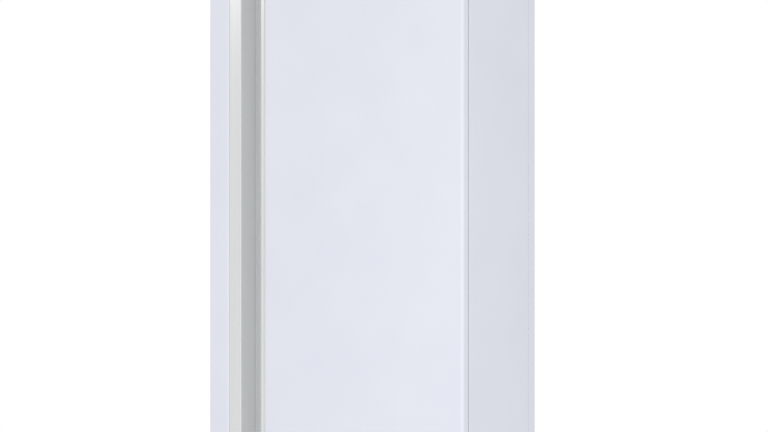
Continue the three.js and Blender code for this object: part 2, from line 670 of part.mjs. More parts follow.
// Door pieces
function doorPanel() {
  const back = FRONT + DOOR_DEPTH;
  const outer = roundedPlan([DOOR_LEFT, RIGHT], [FRONT, back],
    [DOOR_LEFT_RADIUS, DOOR_EDGE_RADIUS, PANEL_BACK_RADIUS, PANEL_BACK_RADIUS]);
  const inner = roundedPlan([DOOR_LEFT + SHEET, RIGHT - SHEET], [FRONT + SHEET, back + 5],
    [DOOR_LEFT_RADIUS - SHEET, DOOR_EDGE_RADIUS - SHEET, PANEL_BACK_RADIUS, PANEL_BACK_RADIUS]);
  const pan = pushZ(outer, -DOOR_TOP, DOOR_TOP);
  const hollow = pushZ(inner, -DOOR_TOP + SHEET, DOOR_TOP - SHEET);
  const bushHoles = rodZ(BUSH_RADIUS + RUN, [-DOOR_TOP - 1, DOOR_TOP + 1], [HINGE_X, HINGE_Y]);
  const latchHoles = [-1, 1].map((side) => (
    rodY(BARREL_RADIUS + RUN, [FRONT - 1, FRONT + SHEET + 1], [LATCH_X, side * LATCH_HEIGHT])));
  return part('door_panel', cut(pan, hollow, bushHoles, ...latchHoles), paint(WHITE));
}

function doorStiffener() {
  const high = DOOR_TOP - SHEET - STIFFENER_END_MARGIN;
  const y = [STIFFENER_FRONT, STIFFENER_FRONT + SHEET];
  const x = [DOOR_LEFT + SHEET + STIFFENER_MARGIN, HINGE_X - STIFFENER_HINGE_MARGIN];
  const plate = block(x, y, [-high, high]);
  const windowX = [LATCH_X + STIFFENER_WINDOW_LEFT, OPENING.right - STIFFENER_WINDOW_RIGHT];
  const through = [y[0] - 1, y[1] + 1];
  const windows = [-1, 1].map((side) => (
    block(windowX, through, [side * STIFFENER_RIB, side * (high - STIFFENER_WINDOW_END)])));
  const latchHoles = [-1, 1].map((side) => (
    rodY(BARREL_RADIUS + RUN, through, [LATCH_X, side * LATCH_HEIGHT])));
  return part('door_stiffener', cut(plate, ...windows, ...latchHoles), zincSteel());
}

function doorSeal() {
  const ring = (spread) => [
    [OPENING.left - SHEET / 2 - spread, OPENING.right + SHEET / 2 + spread],
    [OPENING.bottom - SHEET / 2 - spread, OPENING.top + SHEET / 2 + spread],
  ];
  const [outerX, outerZ] = ring(SEAL_WIDTH / 2);
  const [innerX, innerZ] = ring(-SEAL_WIDTH / 2);
  const y = [SEAL_FRONT, SEAL_FRONT + SEAL_THICKNESS];
  const seal = cut(block(outerX, y, outerZ), block(innerX, [y[0] - 1, y[1] + 1], innerZ));
  return part('door_seal', seal, rubber());
}

// The grip is an extrusion: a front lip, a hook for the fingertips and a web fixed to the door's edge
function doorGrip() {
  const wall = CHANNEL_WALL;
  const webRight = DOOR_LEFT - SEAT;
  const webLeft = webRight - GRIP_WEB;
  const back = FRONT + DOOR_DEPTH - 0.5;
  const hook = GRIP_HOOK_RADIUS;
  const hookEnd = FRONT + GRIP_HOOK - hook;
  const shape = new THREE.Shape();
  const edge = LIP_EDGE_RADIUS;
  shape.absarc(GROOVE_RIGHT + edge, FRONT + edge, edge, Math.PI, 1.5 * Math.PI);
  shape.lineTo(GRIP_RIGHT, FRONT);
  shape.lineTo(GRIP_RIGHT, FRONT + GRIP_STEP);
  shape.lineTo(webRight, FRONT + GRIP_STEP);
  shape.lineTo(webRight, back);
  shape.lineTo(webLeft, back);
  shape.lineTo(webLeft, FRONT + wall);
  shape.lineTo(GROOVE_RIGHT + 2 * hook, FRONT + wall);
  shape.lineTo(GROOVE_RIGHT + 2 * hook, hookEnd);
  shape.absarc(GROOVE_RIGHT + hook, hookEnd, hook, 0, Math.PI);
  return part('door_grip', pushZ(shape, -DOOR_TOP, DOOR_TOP), anodised());
}

// A latch: the housing in the door, and the rotor with its cam, released at rest
function latchHousing() {
  const bezelFront = FRONT - BEZEL_PROUD - RUN;
  const bezel = rodY(BEZEL_RADIUS, [bezelFront, FRONT - RUN], [0, 0]);
  const barrel = rodY(BARREL_RADIUS, [bezelFront + 0.5, FRAME_BACK - BARREL_RECESS], [0, 0]);
  const nut = rodY(BARREL_RADIUS + LATCH_NUT_RIM, [SEAL_FRONT, SEAL_FRONT + LATCH_NUT_THICKNESS], [0, 0], 6);
  const bore = rodY(ROTOR_RADIUS + RUN, [bezelFront - 1, FRAME_BACK], [0, 0]);
  return cut(join(bezel, barrel, nut), bore);
}

function latchCam() {
  const camFront = FRAME_BACK + CAM_CLEARANCE;
  const rotorFront = FRONT - BEZEL_PROUD + SEAT;
  const wellEnd = rotorFront + KEY_WELL_DEPTH;
  const rotor = rodY(ROTOR_RADIUS, [rotorFront, camFront + CAM_THICKNESS], [0, 0]);
  const length = CAM_LENGTH + CAM_TAIL;
  const arm = slotShape(0, (CAM_WIDTH - length) / 2, CAM_WIDTH, length);
  const cam = pushForward(arm, camFront + CAM_THICKNESS, camFront);
  const keyWell = cut(
    rodY(KEY_WELL_RADIUS, [rotorFront - 1, wellEnd], [0, 0], 24),
    rodY(KEY_TRIANGLE_RADIUS, [rotorFront - 2, wellEnd + 1], [0, 0], 3));
  return cut(join(rotor, cam), keyWell);
}

function latchAt(end) {
  const group = new THREE.Group();
  group.position.set(LATCH_X, 0, end === 'top' ? LATCH_HEIGHT : -LATCH_HEIGHT);
  group.add(part(`latch_housing_${end}`, latchHousing(), steel()));
  group.add(part(`latch_cam_${end}`, latchCam(), zincSteel()));
  return group;
}

// Button, light and their board, in and behind the groove's floor
function groovePieces() {
  const group = new THREE.Group();
  group.position.set(GROOVE_CENTRE, GROOVE_FLOOR, 0);
  const bezel = cut(
    join(rodY(BUTTON_RADIUS + BUTTON_RIM, [-1.2, -RUN], [0, 0]),
      rodY(BUTTON_RADIUS + BUTTON_COLLAR, [-1, BUTTON_BACK - 1], [0, 0])),
    rodY(BUTTON_RADIUS + RUN, [-3, BUTTON_BACK + 1], [0, 0]));
  const skirt = [BUTTON_BACK - 1 + SEAT, BUTTON_BACK - 1 + SEAT + 1.2];
  const button = join(
    rodY(BUTTON_RADIUS, [-BUTTON_PROUD - 1, BUTTON_BACK], [0, 0]),
    rodY(BUTTON_RADIUS + BUTTON_SKIRT, skirt, [0, 0]));
  const flange = [CHANNEL_WALL + 2, CHANNEL_WALL + SEAT];
  const lens = join(
    pushForward(slotShape(0, 0, LENS_WIDTH, LENS_LENGTH), CHANNEL_WALL + 1.5, 0),
    pushForward(slotShape(0, 0, LENS_WIDTH + 2 * LENS_FLANGE, LENS_LENGTH + 2 * LENS_FLANGE), ...flange));
  const boardZ = [BUTTON_HEIGHT - BOARD_WIDTH / 2, LENS_HEIGHT + LENS_LENGTH / 2 + 8];
  const boardX = [-BOARD_WIDTH / 2, BOARD_WIDTH / 2];
  const board = block(boardX, [BOARD_DISTANCE, BOARD_DISTANCE + BOARD_THICKNESS], boardZ);
  const posts = [-1, 1].flatMap((side) => boardZ.map((z, i) => (
    rodY(2, [CHANNEL_WALL + RUN, BOARD_DISTANCE + 0.5], [side * (boardX[1] - 3), z + (i ? -4 : 4)], 16))));
  const half = LAMP_SIZE / 2;
  const lamps = [-2, -1, 0, 1, 2].map((step) => LENS_HEIGHT + step * LAMP_PITCH).map((z) => (
    block([-half, half], [BOARD_DISTANCE - 1.2, BOARD_DISTANCE + 0.5], [z - half, z + half])));
  group.add(part('button_bezel', bezel, steel(), [0, 0, BUTTON_HEIGHT]));
  group.add(part('power_button', button, plastic(LIGHT_GREY), [0, 0, BUTTON_HEIGHT]));
  group.add(part('status_lens', lens, plastic(WHITE), [0, 0, LENS_HEIGHT]));
  group.add(part('status_board', join(board, ...posts, ...lamps), plastic(BOARD_GREEN)));
  return group;
}

// Plate that carries everything inside, on feet against the back pan
function mountingPlate() {
  const x = [OPENING.left - PLATE_LEFT_MARGIN, RIGHT - PLATE_RIGHT_MARGIN];
  const high = DOOR_TOP - PLATE_END_MARGIN;
  const plate = block(x, [PLATE_FRONT, PLATE_BACK], [-high, high]);
  const feetX = [x[0] + FOOT_SIDE_MARGIN, x[1] - FOOT_SIDE_MARGIN];
  const feet = feetX.flatMap((footX) => [-1, 0, 1].map((row) => (
    rodY(FOOT_RADIUS, [PLATE_BACK - 0.5, PAN_FRONT - SEAT], [footX, row * (high - FOOT_END_MARGIN)], 16))));
  return part('mounting_plate', join(plate, ...feet), zincSteel());
}

function moduleShelf(number, base) {
  const face = INNER_BACK - SHEET;
  const lip = MODULE_BACK + MODULE_FACE - 1;
  const top = base - SEAT;
  const inside = BEND - SHEET;
  const bent = bentSheet([
    [face, top + SHELF_BACK], [face, top, inside], [lip, top, inside], [lip, top + SHELF_LIP],
  ], SHEET);
  const half = MODULE_WIDTH / 2 + SHELF_OVERHANG;
  const shelf = pushRight(bent, OPENING_CENTRE - half, OPENING_CENTRE + half);
  return part(`module_shelf_${number}`, shelf, zincSteel());
}

// A battery module, in its own frame: back bottom centre at the origin
function moduleCase() {
  const half = MODULE_WIDTH / 2;
  const outer = block([-half, half], [-MODULE_DEPTH, 0], [0, MODULE_HEIGHT]);
  const innerX = [-half + MODULE_WALL, half - MODULE_WALL];
  const innerZ = [MODULE_WALL, MODULE_HEIGHT - MODULE_WALL];
  return cut(outer, block(innerX, [-MODULE_DEPTH - 1, -MODULE_WALL], innerZ));
}

function cellBlock() {
  const margin = MODULE_WALL + CELL_MARGIN;
  const front = -MODULE_DEPTH + CELL_FRONT_ROOM;
  const x0 = -MODULE_WIDTH / 2 + margin;
  const z0 = margin;
  const pitchX = (MODULE_WIDTH - 2 * margin) / CELL_COLUMNS;
  const pitchZ = (MODULE_HEIGHT - 2 * margin) / CELL_ROWS;
  const cells = [];
  for (let row = 0; row < CELL_ROWS; row += 1) {
    for (let column = 0; column < CELL_COLUMNS; column += 1) {
      const x = x0 + column * pitchX;
      const z = z0 + row * pitchZ;
      const spanX = [x + CELL_GAP, x + pitchX - CELL_GAP];
      const spanZ = [z + CELL_GAP, z + pitchZ - CELL_GAP];
      cells.push(block(spanX, [front, -CELL_BACK_ROOM], spanZ));
    }
  }
  const carrierY = [-CELL_BACK_ROOM - 1, -CELL_BACK_ROOM + 2];
  const carrier = block([x0, -x0], carrierY, [z0, MODULE_HEIGHT - margin]);
  return join(carrier, ...cells);
}

function moduleHandle() {
  const bow = bentSheet([
    [-HANDLE_HALF, -RUN], [-HANDLE_HALF, -HANDLE_REACH, HANDLE_BEND],
    [HANDLE_HALF, -HANDLE_REACH, HANDLE_BEND], [HANDLE_HALF, -RUN],
  ], HANDLE_BAR);
  return pushZ(bow, -HANDLE_HEIGHT / 2, HANDLE_HEIGHT / 2);
}

function moduleSocket() {
  const half = SOCKET_HALF;
  const base = block([-half, half], [-SOCKET_BASE - RUN, -RUN], [-half, half]);
  const collar = rodY(SOCKET_RADIUS, [-SOCKET_BASE - SOCKET_COLLAR - RUN, -SOCKET_BASE], [0, 0], 24);
  return join(base, collar);
}

function batteryModule(number, base) {
  const group = new THREE.Group();
  const half = MODULE_WIDTH / 2;
  const socketZ = MODULE_HEIGHT - SOCKET_DROP;
  const face = block([-half, half], [MODULE_FACE, -MODULE_DEPTH - SEAT], [0, MODULE_HEIGHT]);
  const handlePlace = [0, MODULE_FACE, MODULE_HEIGHT / 2];
  group.position.set(OPENING_CENTRE, MODULE_BACK, base);
  group.add(part(`module_case_${number}`, moduleCase(), paint(CHARCOAL)));
  group.add(part(`module_front_${number}`, face, paint(CHARCOAL)));
  group.add(part(`cell_block_${number}`, cellBlock(), plastic(LIGHT_GREY)));
  group.add(part(`module_handle_${number}`, moduleHandle(), plastic(BLACK), handlePlace));
  [['positive', -SOCKET_SPREAD, RED], ['negative', SOCKET_SPREAD, BLACK]].forEach(([pole, x, color]) => {
    group.add(part(`socket_${pole}_${number}`, moduleSocket(), plastic(color), [x, MODULE_FACE, socketZ]));
  });
  return group;
}

// Leads: a round cable on a smooth route, with a plug on each socket end
function cable(points, steps) {
  const section = new THREE.Shape();
  section.absarc(0, 0, LEAD_RADIUS, 0, 2 * Math.PI);
  const route = new THREE.CatmullRomCurve3(points.map(([x, y, z]) => new THREE.Vector3(x, y, z)));
  const options = { steps, extrudePath: route, curveSegments: 4, bevelEnabled: false };
  return new THREE.ExtrudeGeometry(section, options);
}

function plug(x, z, way) {
  const body = rodY(PLUG_RADIUS, [SOCKET_FACE - PLUG_LENGTH, SOCKET_FACE], [x, z], 20);
  const tail = rodZ(PLUG_TAIL_RADIUS, [z, z + way * PLUG_TAIL], [x, PLUG_CENTRE], 16);
  return join(body, tail);
}

function leads() {
  const group = new THREE.Group();
  const positiveX = OPENING_CENTRE - SOCKET_SPREAD;
  const negativeX = OPENING_CENTRE + SOCKET_SPREAD;
  const [lowZ, highZ] = MODULE_BASES.map((base) => base + MODULE_HEIGHT - SOCKET_DROP);
  const shelfZ = MODULE_BASES[0];
  const isolatorTop = RAIL_HEIGHT + ISOLATOR_HEIGHT / 2 + 2 * SEAT;
  const y = PLUG_CENTRE;
  const ends = TERMINAL_Y;
  const gapZ = MODULE_BASES[1] - 6;
  const positive = cable([
    [positiveX, y, highZ - 16], [positiveX, y, highZ - 50], [positiveX - 22, y, highZ - 110],
    [positiveX - 28, y, highZ - 200], [positiveX - 28, y, shelfZ + 120], [positiveX - 26, y, shelfZ + 10],
    [positiveX - 8, y + 12, shelfZ - 28], [positiveX + 50, ends - 64, shelfZ - 46],
    [ISOLATOR_X - 34, ends - 20, shelfZ - 50], [ISOLATOR_X - 20, ends, isolatorTop + 12],
    [ISOLATOR_X - 20, ends, isolatorTop],
  ], 32);
  const negative = cable([
    [negativeX, y, lowZ - 16], [negativeX, y, lowZ - 50], [negativeX + 14, y, lowZ - 110],
    [negativeX + 16, y, shelfZ + 100], [negativeX + 12, y, shelfZ + 4], [negativeX - 14, y + 14, shelfZ - 30],
    [ISOLATOR_X + 80, ends - 56, shelfZ - 46], [ISOLATOR_X + 36, ends - 18, shelfZ - 50],
    [ISOLATOR_X + 20, ends, isolatorTop + 12], [ISOLATOR_X + 20, ends, isolatorTop],
  ], 26);
  const link = cable([
    [negativeX, y, highZ - 16], [negativeX, y, highZ - 60], [negativeX, y, gapZ + 90],
    [negativeX - 18, y, gapZ + 28], [negativeX - 70, y, gapZ + 6], [OPENING_CENTRE, y, gapZ],
    [positiveX + 60, y, gapZ + 4], [positiveX + 14, y, gapZ + 8], [positiveX, y, gapZ - 8],
    [positiveX, y, lowZ + 16],
  ], 28);
  group.add(part('lead_positive', join(positive, plug(positiveX, highZ, -1)), rubber()));
  group.add(part('lead_negative', join(negative, plug(negativeX, lowZ, -1)), rubber()));
  group.add(part('lead_link', join(link, plug(negativeX, highZ, -1), plug(positiveX, lowZ, 1)), rubber()));
  return group;
}

// Controller over the modules
function controller() {
  const group = new THREE.Group();
  group.position.set(OPENING_CENTRE, INNER_BACK, CONTROLLER_BASE);
  const half = CONTROLLER_WIDTH / 2;
  const high = CONTROLLER_HEIGHT;
  const wall = MODULE_WALL;
  const shell = cut(
    block([-half, half], [-CONTROLLER_DEPTH, 0], [0, high]),
    block([-half + wall, half - wall], [-CONTROLLER_DEPTH - 1, -wall], [wall, high - wall]));
  const coverBack = -CONTROLLER_DEPTH - SEAT;
  const cover = block([-half, half], [coverBack - MODULE_FRONT_PLATE, coverBack], [0, high]);
  const edge = half - CONTROLLER_BOARD_MARGIN;
  const boardZ = [CONTROLLER_BOARD_MARGIN, high - CONTROLLER_BOARD_MARGIN];
  const boardFace = -CONTROLLER_BOARD_BACK - CONTROLLER_BOARD_THICKNESS;
  const root = boardFace + 0.5;
  const board = block([-edge, edge], [boardFace, -CONTROLLER_BOARD_BACK], boardZ);
  const posts = [-1, 1].flatMap((side) => boardZ.map((z, k) => (
    rodY(3, [-CONTROLLER_BOARD_BACK - 0.5, -wall - RUN], [side * (edge - 8), z + (k ? -8 : 8)], 12))));
  const contactors = [64, 124].map((inset) => (
    block([inset - edge - 22, inset - edge + 22], [boardFace - 52, root], [40, 110])));
  const fuse = block([10, 90], [boardFace - 32, root], [50, 86]);
  const chokes = [44, 94, 144].map((inset) => rodY(16, [boardFace - 26, root], [edge - inset, 150], 20));
  const header = block([34 - edge, 154 - edge], [boardFace - 16, root], [160, 176]);
  group.add(part('controller_case', shell, paint(LIGHT_GREY)));
  group.add(part('controller_cover', cover, paint(LIGHT_GREY)));
  group.add(part('controller_board', join(board, ...posts, ...contactors, fuse, ...chokes, header),
    plastic(BOARD_GREEN)));
  return group;
}

// Switchgear on the rail under the modules
function dinRail() {
  const back = RAIL_BACK;
  const front = RAIL_FRONT + 1;
  const z = RAIL_HEIGHT;
  const hat = bentSheet([
    [front, z - RAIL_HALF], [front, z - RAIL_TOP_HALF, 0.3], [back, z - RAIL_TOP_HALF, 1.2],
    [back, z + RAIL_TOP_HALF, 1.2], [front, z + RAIL_TOP_HALF, 0.3], [front, z + RAIL_HALF],
  ], 1);
  const half = RAIL_LENGTH / 2;
  return part('din_rail', pushRight(hat, OPENING_CENTRE - half, OPENING_CENTRE + half), zincSteel());
}

function breaker() {
  const half = BREAKER_WIDTH / 2;
  const high = BREAKER_HALF_HEIGHT;
  const nose = BREAKER_NOSE_HALF_HEIGHT;
  const shoulder = BREAKER_FRONT + BREAKER_SHOULDER;
  const outline = new THREE.Shape([
    [DEVICE_BACK, -high], [DEVICE_BACK, high], [shoulder, high], [shoulder, nose],
    [BREAKER_FRONT, nose], [BREAKER_FRONT, -nose], [shoulder, -nose], [shoulder, -high],
  ].map(([y, z]) => new THREE.Vector2(y, z)));
  const slotX = [-LEVER_HALF_SLOT, LEVER_HALF_SLOT];
  const barrelRoom = rodX(LEVER_RADIUS + 2 * RUN, slotX, [LEVER_Y, 0]);
  const throat = block(slotX, [BREAKER_FRONT - 1, LEVER_Y], [-10, 10]);
  const body = cut(pushRight(outline, -half, half), barrelRoom, throat);
  const leverX = [slotX[0] + RUN, slotX[1] - RUN];
  const lever = join(
    rodX(LEVER_RADIUS, leverX, [0, 0]), block(leverX, [-LEVER_LENGTH, 0], [-2.5, 2.5]));
  const group = new THREE.Group();
  group.position.set(BREAKER_X, 0, RAIL_HEIGHT);
  group.add(part('breaker_body', body, plastic(LIGHT_GREY)));
  const paddle = part('breaker_lever', lever, plastic(BLACK), [0, LEVER_Y, 0]);
  paddle.rotation.x = THREE.MathUtils.degToRad(-LEVER_REST_ANGLE);
  group.add(paddle);
  return group;
}

function isolator() {
  const half = ISOLATOR_WIDTH / 2;
  const high = ISOLATOR_HEIGHT / 2;
  const face = DEVICE_BACK - ISOLATOR_DEPTH;
  const boss = face - ISOLATOR_BOSS;
  const shaft = SHAFT_RADIUS;
  const body = cut(
    join(block([-half, half], [face, DEVICE_BACK], [-high, high]),
      rodY(ISOLATOR_BOSS_RADIUS, [boss, face + 1], [0, 0])),
    rodY(shaft + RUN, [boss - 1, face + 12], [0, 0], 20));
  const knobBack = boss - SEAT;
  const grip = block([-KNOB_GRIP_HALF_WIDTH, KNOB_GRIP_HALF_WIDTH],
    [knobBack - KNOB_GRIP, knobBack - KNOB_DISC + 1], [-KNOB_GRIP_HALF_LENGTH, KNOB_GRIP_HALF_LENGTH]);
  const knob = join(
    rodY(KNOB_RADIUS, [knobBack - KNOB_DISC, knobBack], [0, 0]), grip,
    rodY(shaft, [knobBack - 1, face + 10], [0, 0], 20));
  const group = new THREE.Group();
  group.position.set(ISOLATOR_X, 0, RAIL_HEIGHT);
  group.add(part('isolator_body', body, plastic(LIGHT_GREY)));
  group.add(part('isolator_knob', knob, plastic(RED)));
  return group;
}

function earthBar() {
  const x = OPENING_CENTRE;
  const back = INNER_BACK - EARTH_BAR_STANDOFF;
  const y = [back - EARTH_BAR_THICKNESS, back];
  const z = EARTH_BAR_HEIGHT;
  const half = EARTH_BAR_HALF_LENGTH;
  const bar = block([x - half, x + half], y, [z - EARTH_BAR_HALF_HEIGHT, z + EARTH_BAR_HALF_HEIGHT]);
  const posts = [-1, 1].map((side) => rodY(5, [y[1] - 0.5, INNER_BACK], [x + side * (half - 10), z], 16));
  const holes = [-2, -1, 0, 1, 2].map((step) => (
    rodY(EARTH_HOLE_RADIUS, [y[0] - 1, y[1] + 1], [x + step * EARTH_HOLE_PITCH, z], 12)));
  return part('earth_bar', cut(join(bar, ...posts), ...holes), brass());
}

// A cable gland with its locknut, in its own frame: the plate's underside is z = 0
function cableGland() {
  const flange = rodZ(GLAND_HEX, [-6.5, -0.3], [0, 0], 6);
  const thread = rodZ(GLAND_THREAD, [-8, 14], [0, 0]);
  const dome = turnedZ([[0, -24], [12, -24], [15, -18], [15, -6], [0, -6]]);
  const locknut = rodZ(GLAND_HEX, [SHEET + 0.3, SHEET + 6], [0, 0], 6);
  return cut(join(flange, thread, dome, locknut), rodZ(GLAND_BORE, [-30, 20], [0, 0], 24));
}

// Assembly
const unit = new THREE.Group();
unit.name = 'wall_battery_unit';
unit.add(wallBracket(), hangerRail(), backPan(), leftPost(), rightSidePanel(), gripChannel(), doorFrame());
unit.add(roofPlate(), glandPlate(), topCap(), baseTrim());
['top', 'bottom'].forEach((end) => unit.add(hingeAt(end), latchAt(end)));
unit.add(doorPanel(), doorStiffener(), doorSeal(), doorGrip(), groovePieces(), mountingPlate());
MODULE_BASES.forEach((base, i) => unit.add(moduleShelf(i + 1, base), batteryModule(i + 1, base)));
unit.add(leads(), controller(), dinRail(), breaker(), isolator(), earthBar());
['left', 'middle', 'right'].forEach((side, i) => {
  const place = [GLAND_XS[i], GLAND_Y, -SHELL_TOP + PLATE_DROP];
  unit.add(part(`cable_gland_${side}`, cableGland(), plastic(CHARCOAL), place));
});

export default unit;
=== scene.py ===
import math

import bmesh
import bpy
from mathutils import Matrix, Vector


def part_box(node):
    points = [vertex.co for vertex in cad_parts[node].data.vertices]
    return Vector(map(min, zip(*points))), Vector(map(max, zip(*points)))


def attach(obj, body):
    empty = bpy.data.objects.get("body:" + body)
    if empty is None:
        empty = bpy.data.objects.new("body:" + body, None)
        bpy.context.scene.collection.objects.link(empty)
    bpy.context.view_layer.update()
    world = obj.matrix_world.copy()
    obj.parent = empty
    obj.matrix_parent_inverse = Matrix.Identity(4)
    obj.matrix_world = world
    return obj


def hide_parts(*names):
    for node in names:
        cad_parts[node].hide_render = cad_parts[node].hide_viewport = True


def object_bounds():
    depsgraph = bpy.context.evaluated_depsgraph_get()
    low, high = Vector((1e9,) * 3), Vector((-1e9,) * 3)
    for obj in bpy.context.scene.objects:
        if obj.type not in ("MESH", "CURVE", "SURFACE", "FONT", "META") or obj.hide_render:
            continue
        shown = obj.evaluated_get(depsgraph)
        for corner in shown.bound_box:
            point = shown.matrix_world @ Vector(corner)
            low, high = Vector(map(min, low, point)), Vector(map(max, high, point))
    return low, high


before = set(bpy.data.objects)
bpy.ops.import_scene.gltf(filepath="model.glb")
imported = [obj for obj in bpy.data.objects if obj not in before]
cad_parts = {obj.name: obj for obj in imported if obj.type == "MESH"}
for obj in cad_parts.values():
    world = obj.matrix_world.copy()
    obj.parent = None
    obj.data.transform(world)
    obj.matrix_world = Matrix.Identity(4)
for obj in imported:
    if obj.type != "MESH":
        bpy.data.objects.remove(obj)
cad_low, cad_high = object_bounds()

# Wall battery unit: a painted sheet steel cabinet with an aluminium finger groove and a wide door.
# The wall is at y = 0, the front towards -y and z up. Sizes are in millimetres unless a name says otherwise.

MM = 0.001

# ---------------------------------------------------------------------------------------------------------
# Camera, light and floor. The camera is level and far away, so that upright edges stay upright.
# The light is a white studio tent, with a softbox at the front right, a wider and weaker one at the front
# left, and a small light high at the left that shows only as a reflection near the top of the metal. The
# unit hangs over a pale vinyl floor.

VIEW_AZIMUTH = math.radians(39.8)
LENS_MM = 600
SENSOR_MM = 36
FRAME_WIDTH_M = 1.498
AIM_ACROSS_M = -0.0463
FAR_CLIP_M = 200

camera_data = bpy.data.cameras.new("camera")
camera_data.lens = LENS_MM
camera_data.sensor_width = SENSOR_MM
camera_data.clip_end = FAR_CLIP_M
camera = bpy.data.objects.new("camera", camera_data)
bpy.context.scene.collection.objects.link(camera)
bpy.context.scene.camera = camera
across = Vector((math.cos(VIEW_AZIMUTH), math.sin(VIEW_AZIMUTH), 0))
back = Vector((math.sin(VIEW_AZIMUTH), -math.cos(VIEW_AZIMUTH), 0))
camera.location = across * AIM_ACROSS_M + back * (FRAME_WIDTH_M * LENS_MM / SENSOR_MM)
camera.rotation_mode = "QUATERNION"
camera.rotation_quaternion = (-back).to_track_quat("-Z", "Y")
bpy.context.scene.view_settings.view_transform = "Standard"


def colour(code):
    """An sRGB hex colour as linear red, green, blue and alpha."""
    parts = [int(code[i:i + 2], 16) / 255 for i in (0, 2, 4)]
    linear = [c / 12.92 if c <= 0.04045 else ((c + 0.055) / 1.055) ** 2.4 for c in parts]
    return (*linear, 1.0)


def add(tree, kind, settings=None, links=None):
    """A node with its settings and links. A setting is an input's name or number, or a property."""
    made = tree.nodes.new(kind)
    for key, value in (settings or {}).items():
        if isinstance(key, int) or key in made.inputs:
            made.inputs[key].default_value = value
        else:
            setattr(made, key, value)
    for key, source in (links or {}).items():
        tree.links.new(source, made.inputs[key])
    return made


TENT_LIGHT = 0.66

world = bpy.data.worlds.new("studio")
bpy.context.scene.world = world
world.use_nodes = True
tent = world.node_tree
tent.nodes.clear()
seen = add(tent, "ShaderNodeBackground", {"Color": (1, 1, 1, 1), "Strength": 1.0})
lighting = add(tent, "ShaderNodeBackground", {"Color": (1, 1, 1, 1), "Strength": TENT_LIGHT})
path = add(tent, "ShaderNodeLightPath")
chosen = add(tent, "ShaderNodeMixShader", {}, {
    0: path.outputs["Is Camera Ray"], 1: lighting.outputs[0], 2: seen.outputs[0]})
add(tent, "ShaderNodeOutputWorld", {}, {"Surface": chosen.outputs[0]})


def softbox(name, place, target, size_m, power):
    """A square area light aimed at a point."""
    data = bpy.data.lights.new(name, "AREA")
    data.shape = "SQUARE"
    data.size = size_m
    data.energy = power
    light = bpy.data.objects.new(name, data)
    light.location = place
    light.rotation_euler = (Vector(target) - Vector(place)).to_track_quat("-Z", "Y").to_euler()
    bpy.context.scene.collection.objects.link(light)
    return light


softbox("key_softbox", (2.83, -2.83, -0.3), (0, 0, -0.1), 0.8, 46)
softbox("fill_softbox", (-0.7, -3.85, -0.6), (0, 0, -0.2), 1.4, 15)
strip = softbox("strip_light", (-0.83, -0.91, 0.56), (-0.25, -0.22, 0.42), 0.25, 0.9)
strip.visible_diffuse = False

FLOOR_DROP_M = 0.4
FLOOR_RADIUS_M = 2.4

floor_mesh = bpy.data.meshes.new("floor")
plan = bmesh.new()
bmesh.ops.create_circle(plan, cap_ends=True, radius=FLOOR_RADIUS_M, segments=96)
plan.to_mesh(floor_mesh)
plan.free()
floor = bpy.data.objects.new("floor", floor_mesh)
floor.location = (0, 0, cad_low.z - FLOOR_DROP_M)
bpy.context.scene.collection.objects.link(floor)


def blank(name, metallic=0.0, roughness=0.5):
    """A new material with its shader and object coordinates: (material, tree, shader, coordinates)."""
    made = bpy.data.materials.new(name)
    made.use_nodes = True
    tree = made.node_tree
    tree.nodes.clear()
    shader = add(tree, "ShaderNodeBsdfPrincipled", {"Metallic": metallic, "Roughness": roughness})
    add(tree, "ShaderNodeOutputMaterial", {}, {"Surface": shader.outputs[0]})
    coordinates = add(tree, "ShaderNodeTexCoord")
    return made, tree, shader, coordinates.outputs["Object"]


def grain(tree, coordinates, size_mm, detail=2.0, stretch=(1, 1, 1)):
    """A noise pattern with grains of a real size, longer along an axis whose stretch is small."""
    scaled = add(tree, "ShaderNodeMapping", {"Scale": stretch}, {"Vector": coordinates})
    return add(tree, "ShaderNodeTexNoise", {"Scale": 1000 / size_mm, "Detail": detail},
               {"Vector": scaled.outputs[0]}).outputs["Fac"]


def tint(tree, factor, low, high, spread=(0.35, 0.65)):
    """A colour that goes from one hex colour to another with the factor."""
    ramp = add(tree, "ShaderNodeValToRGB", {}, {"Fac": factor})
    for element, position, code in zip(ramp.color_ramp.elements, spread, (low, high)):
        element.position = position
        element.color = colour(code)
    return ramp.outputs["Color"]


def vary_roughness(tree, shader, factor, low, high):
    """Roughness that goes from low to high with the factor."""
    span = add(tree, "ShaderNodeMapRange", {3: low, 4: high}, {0: factor})
    tree.links.new(span.outputs[0], shader.inputs["Roughness"])


def relief(tree, shader, factor, depth_mm, strength=0.5):
    """Fine relief of a real depth on a shader's surface."""
    bump = add(tree, "ShaderNodeBump", {"Strength": strength, "Distance": depth_mm * MM}, {"Height": factor})
    tree.links.new(bump.outputs[0], shader.inputs["Normal"])


# Sheet vinyl: matt and pale, with a faint cloudiness from its print layer.
floor_vinyl, tree, shader, coordinates = blank("studio_vinyl", roughness=0.8)
tree.links.new(tint(tree, grain(tree, coordinates, 260), "E4E5E7", "EAEBED"), shader.inputs["Base Color"])
floor.data.materials.append(floor_vinyl)

# ---------------------------------------------------------------------------------------------------------
# Wall bracket and hanger rail. The bracket is a 3 mm pressed sheet that is screwed to the wall, and the
# unit's rail, riveted to its back, hangs on the bracket's hook. Both are zinc-plated.

ZINC_EDGE = 0.4
SPANGLE_MM = 9


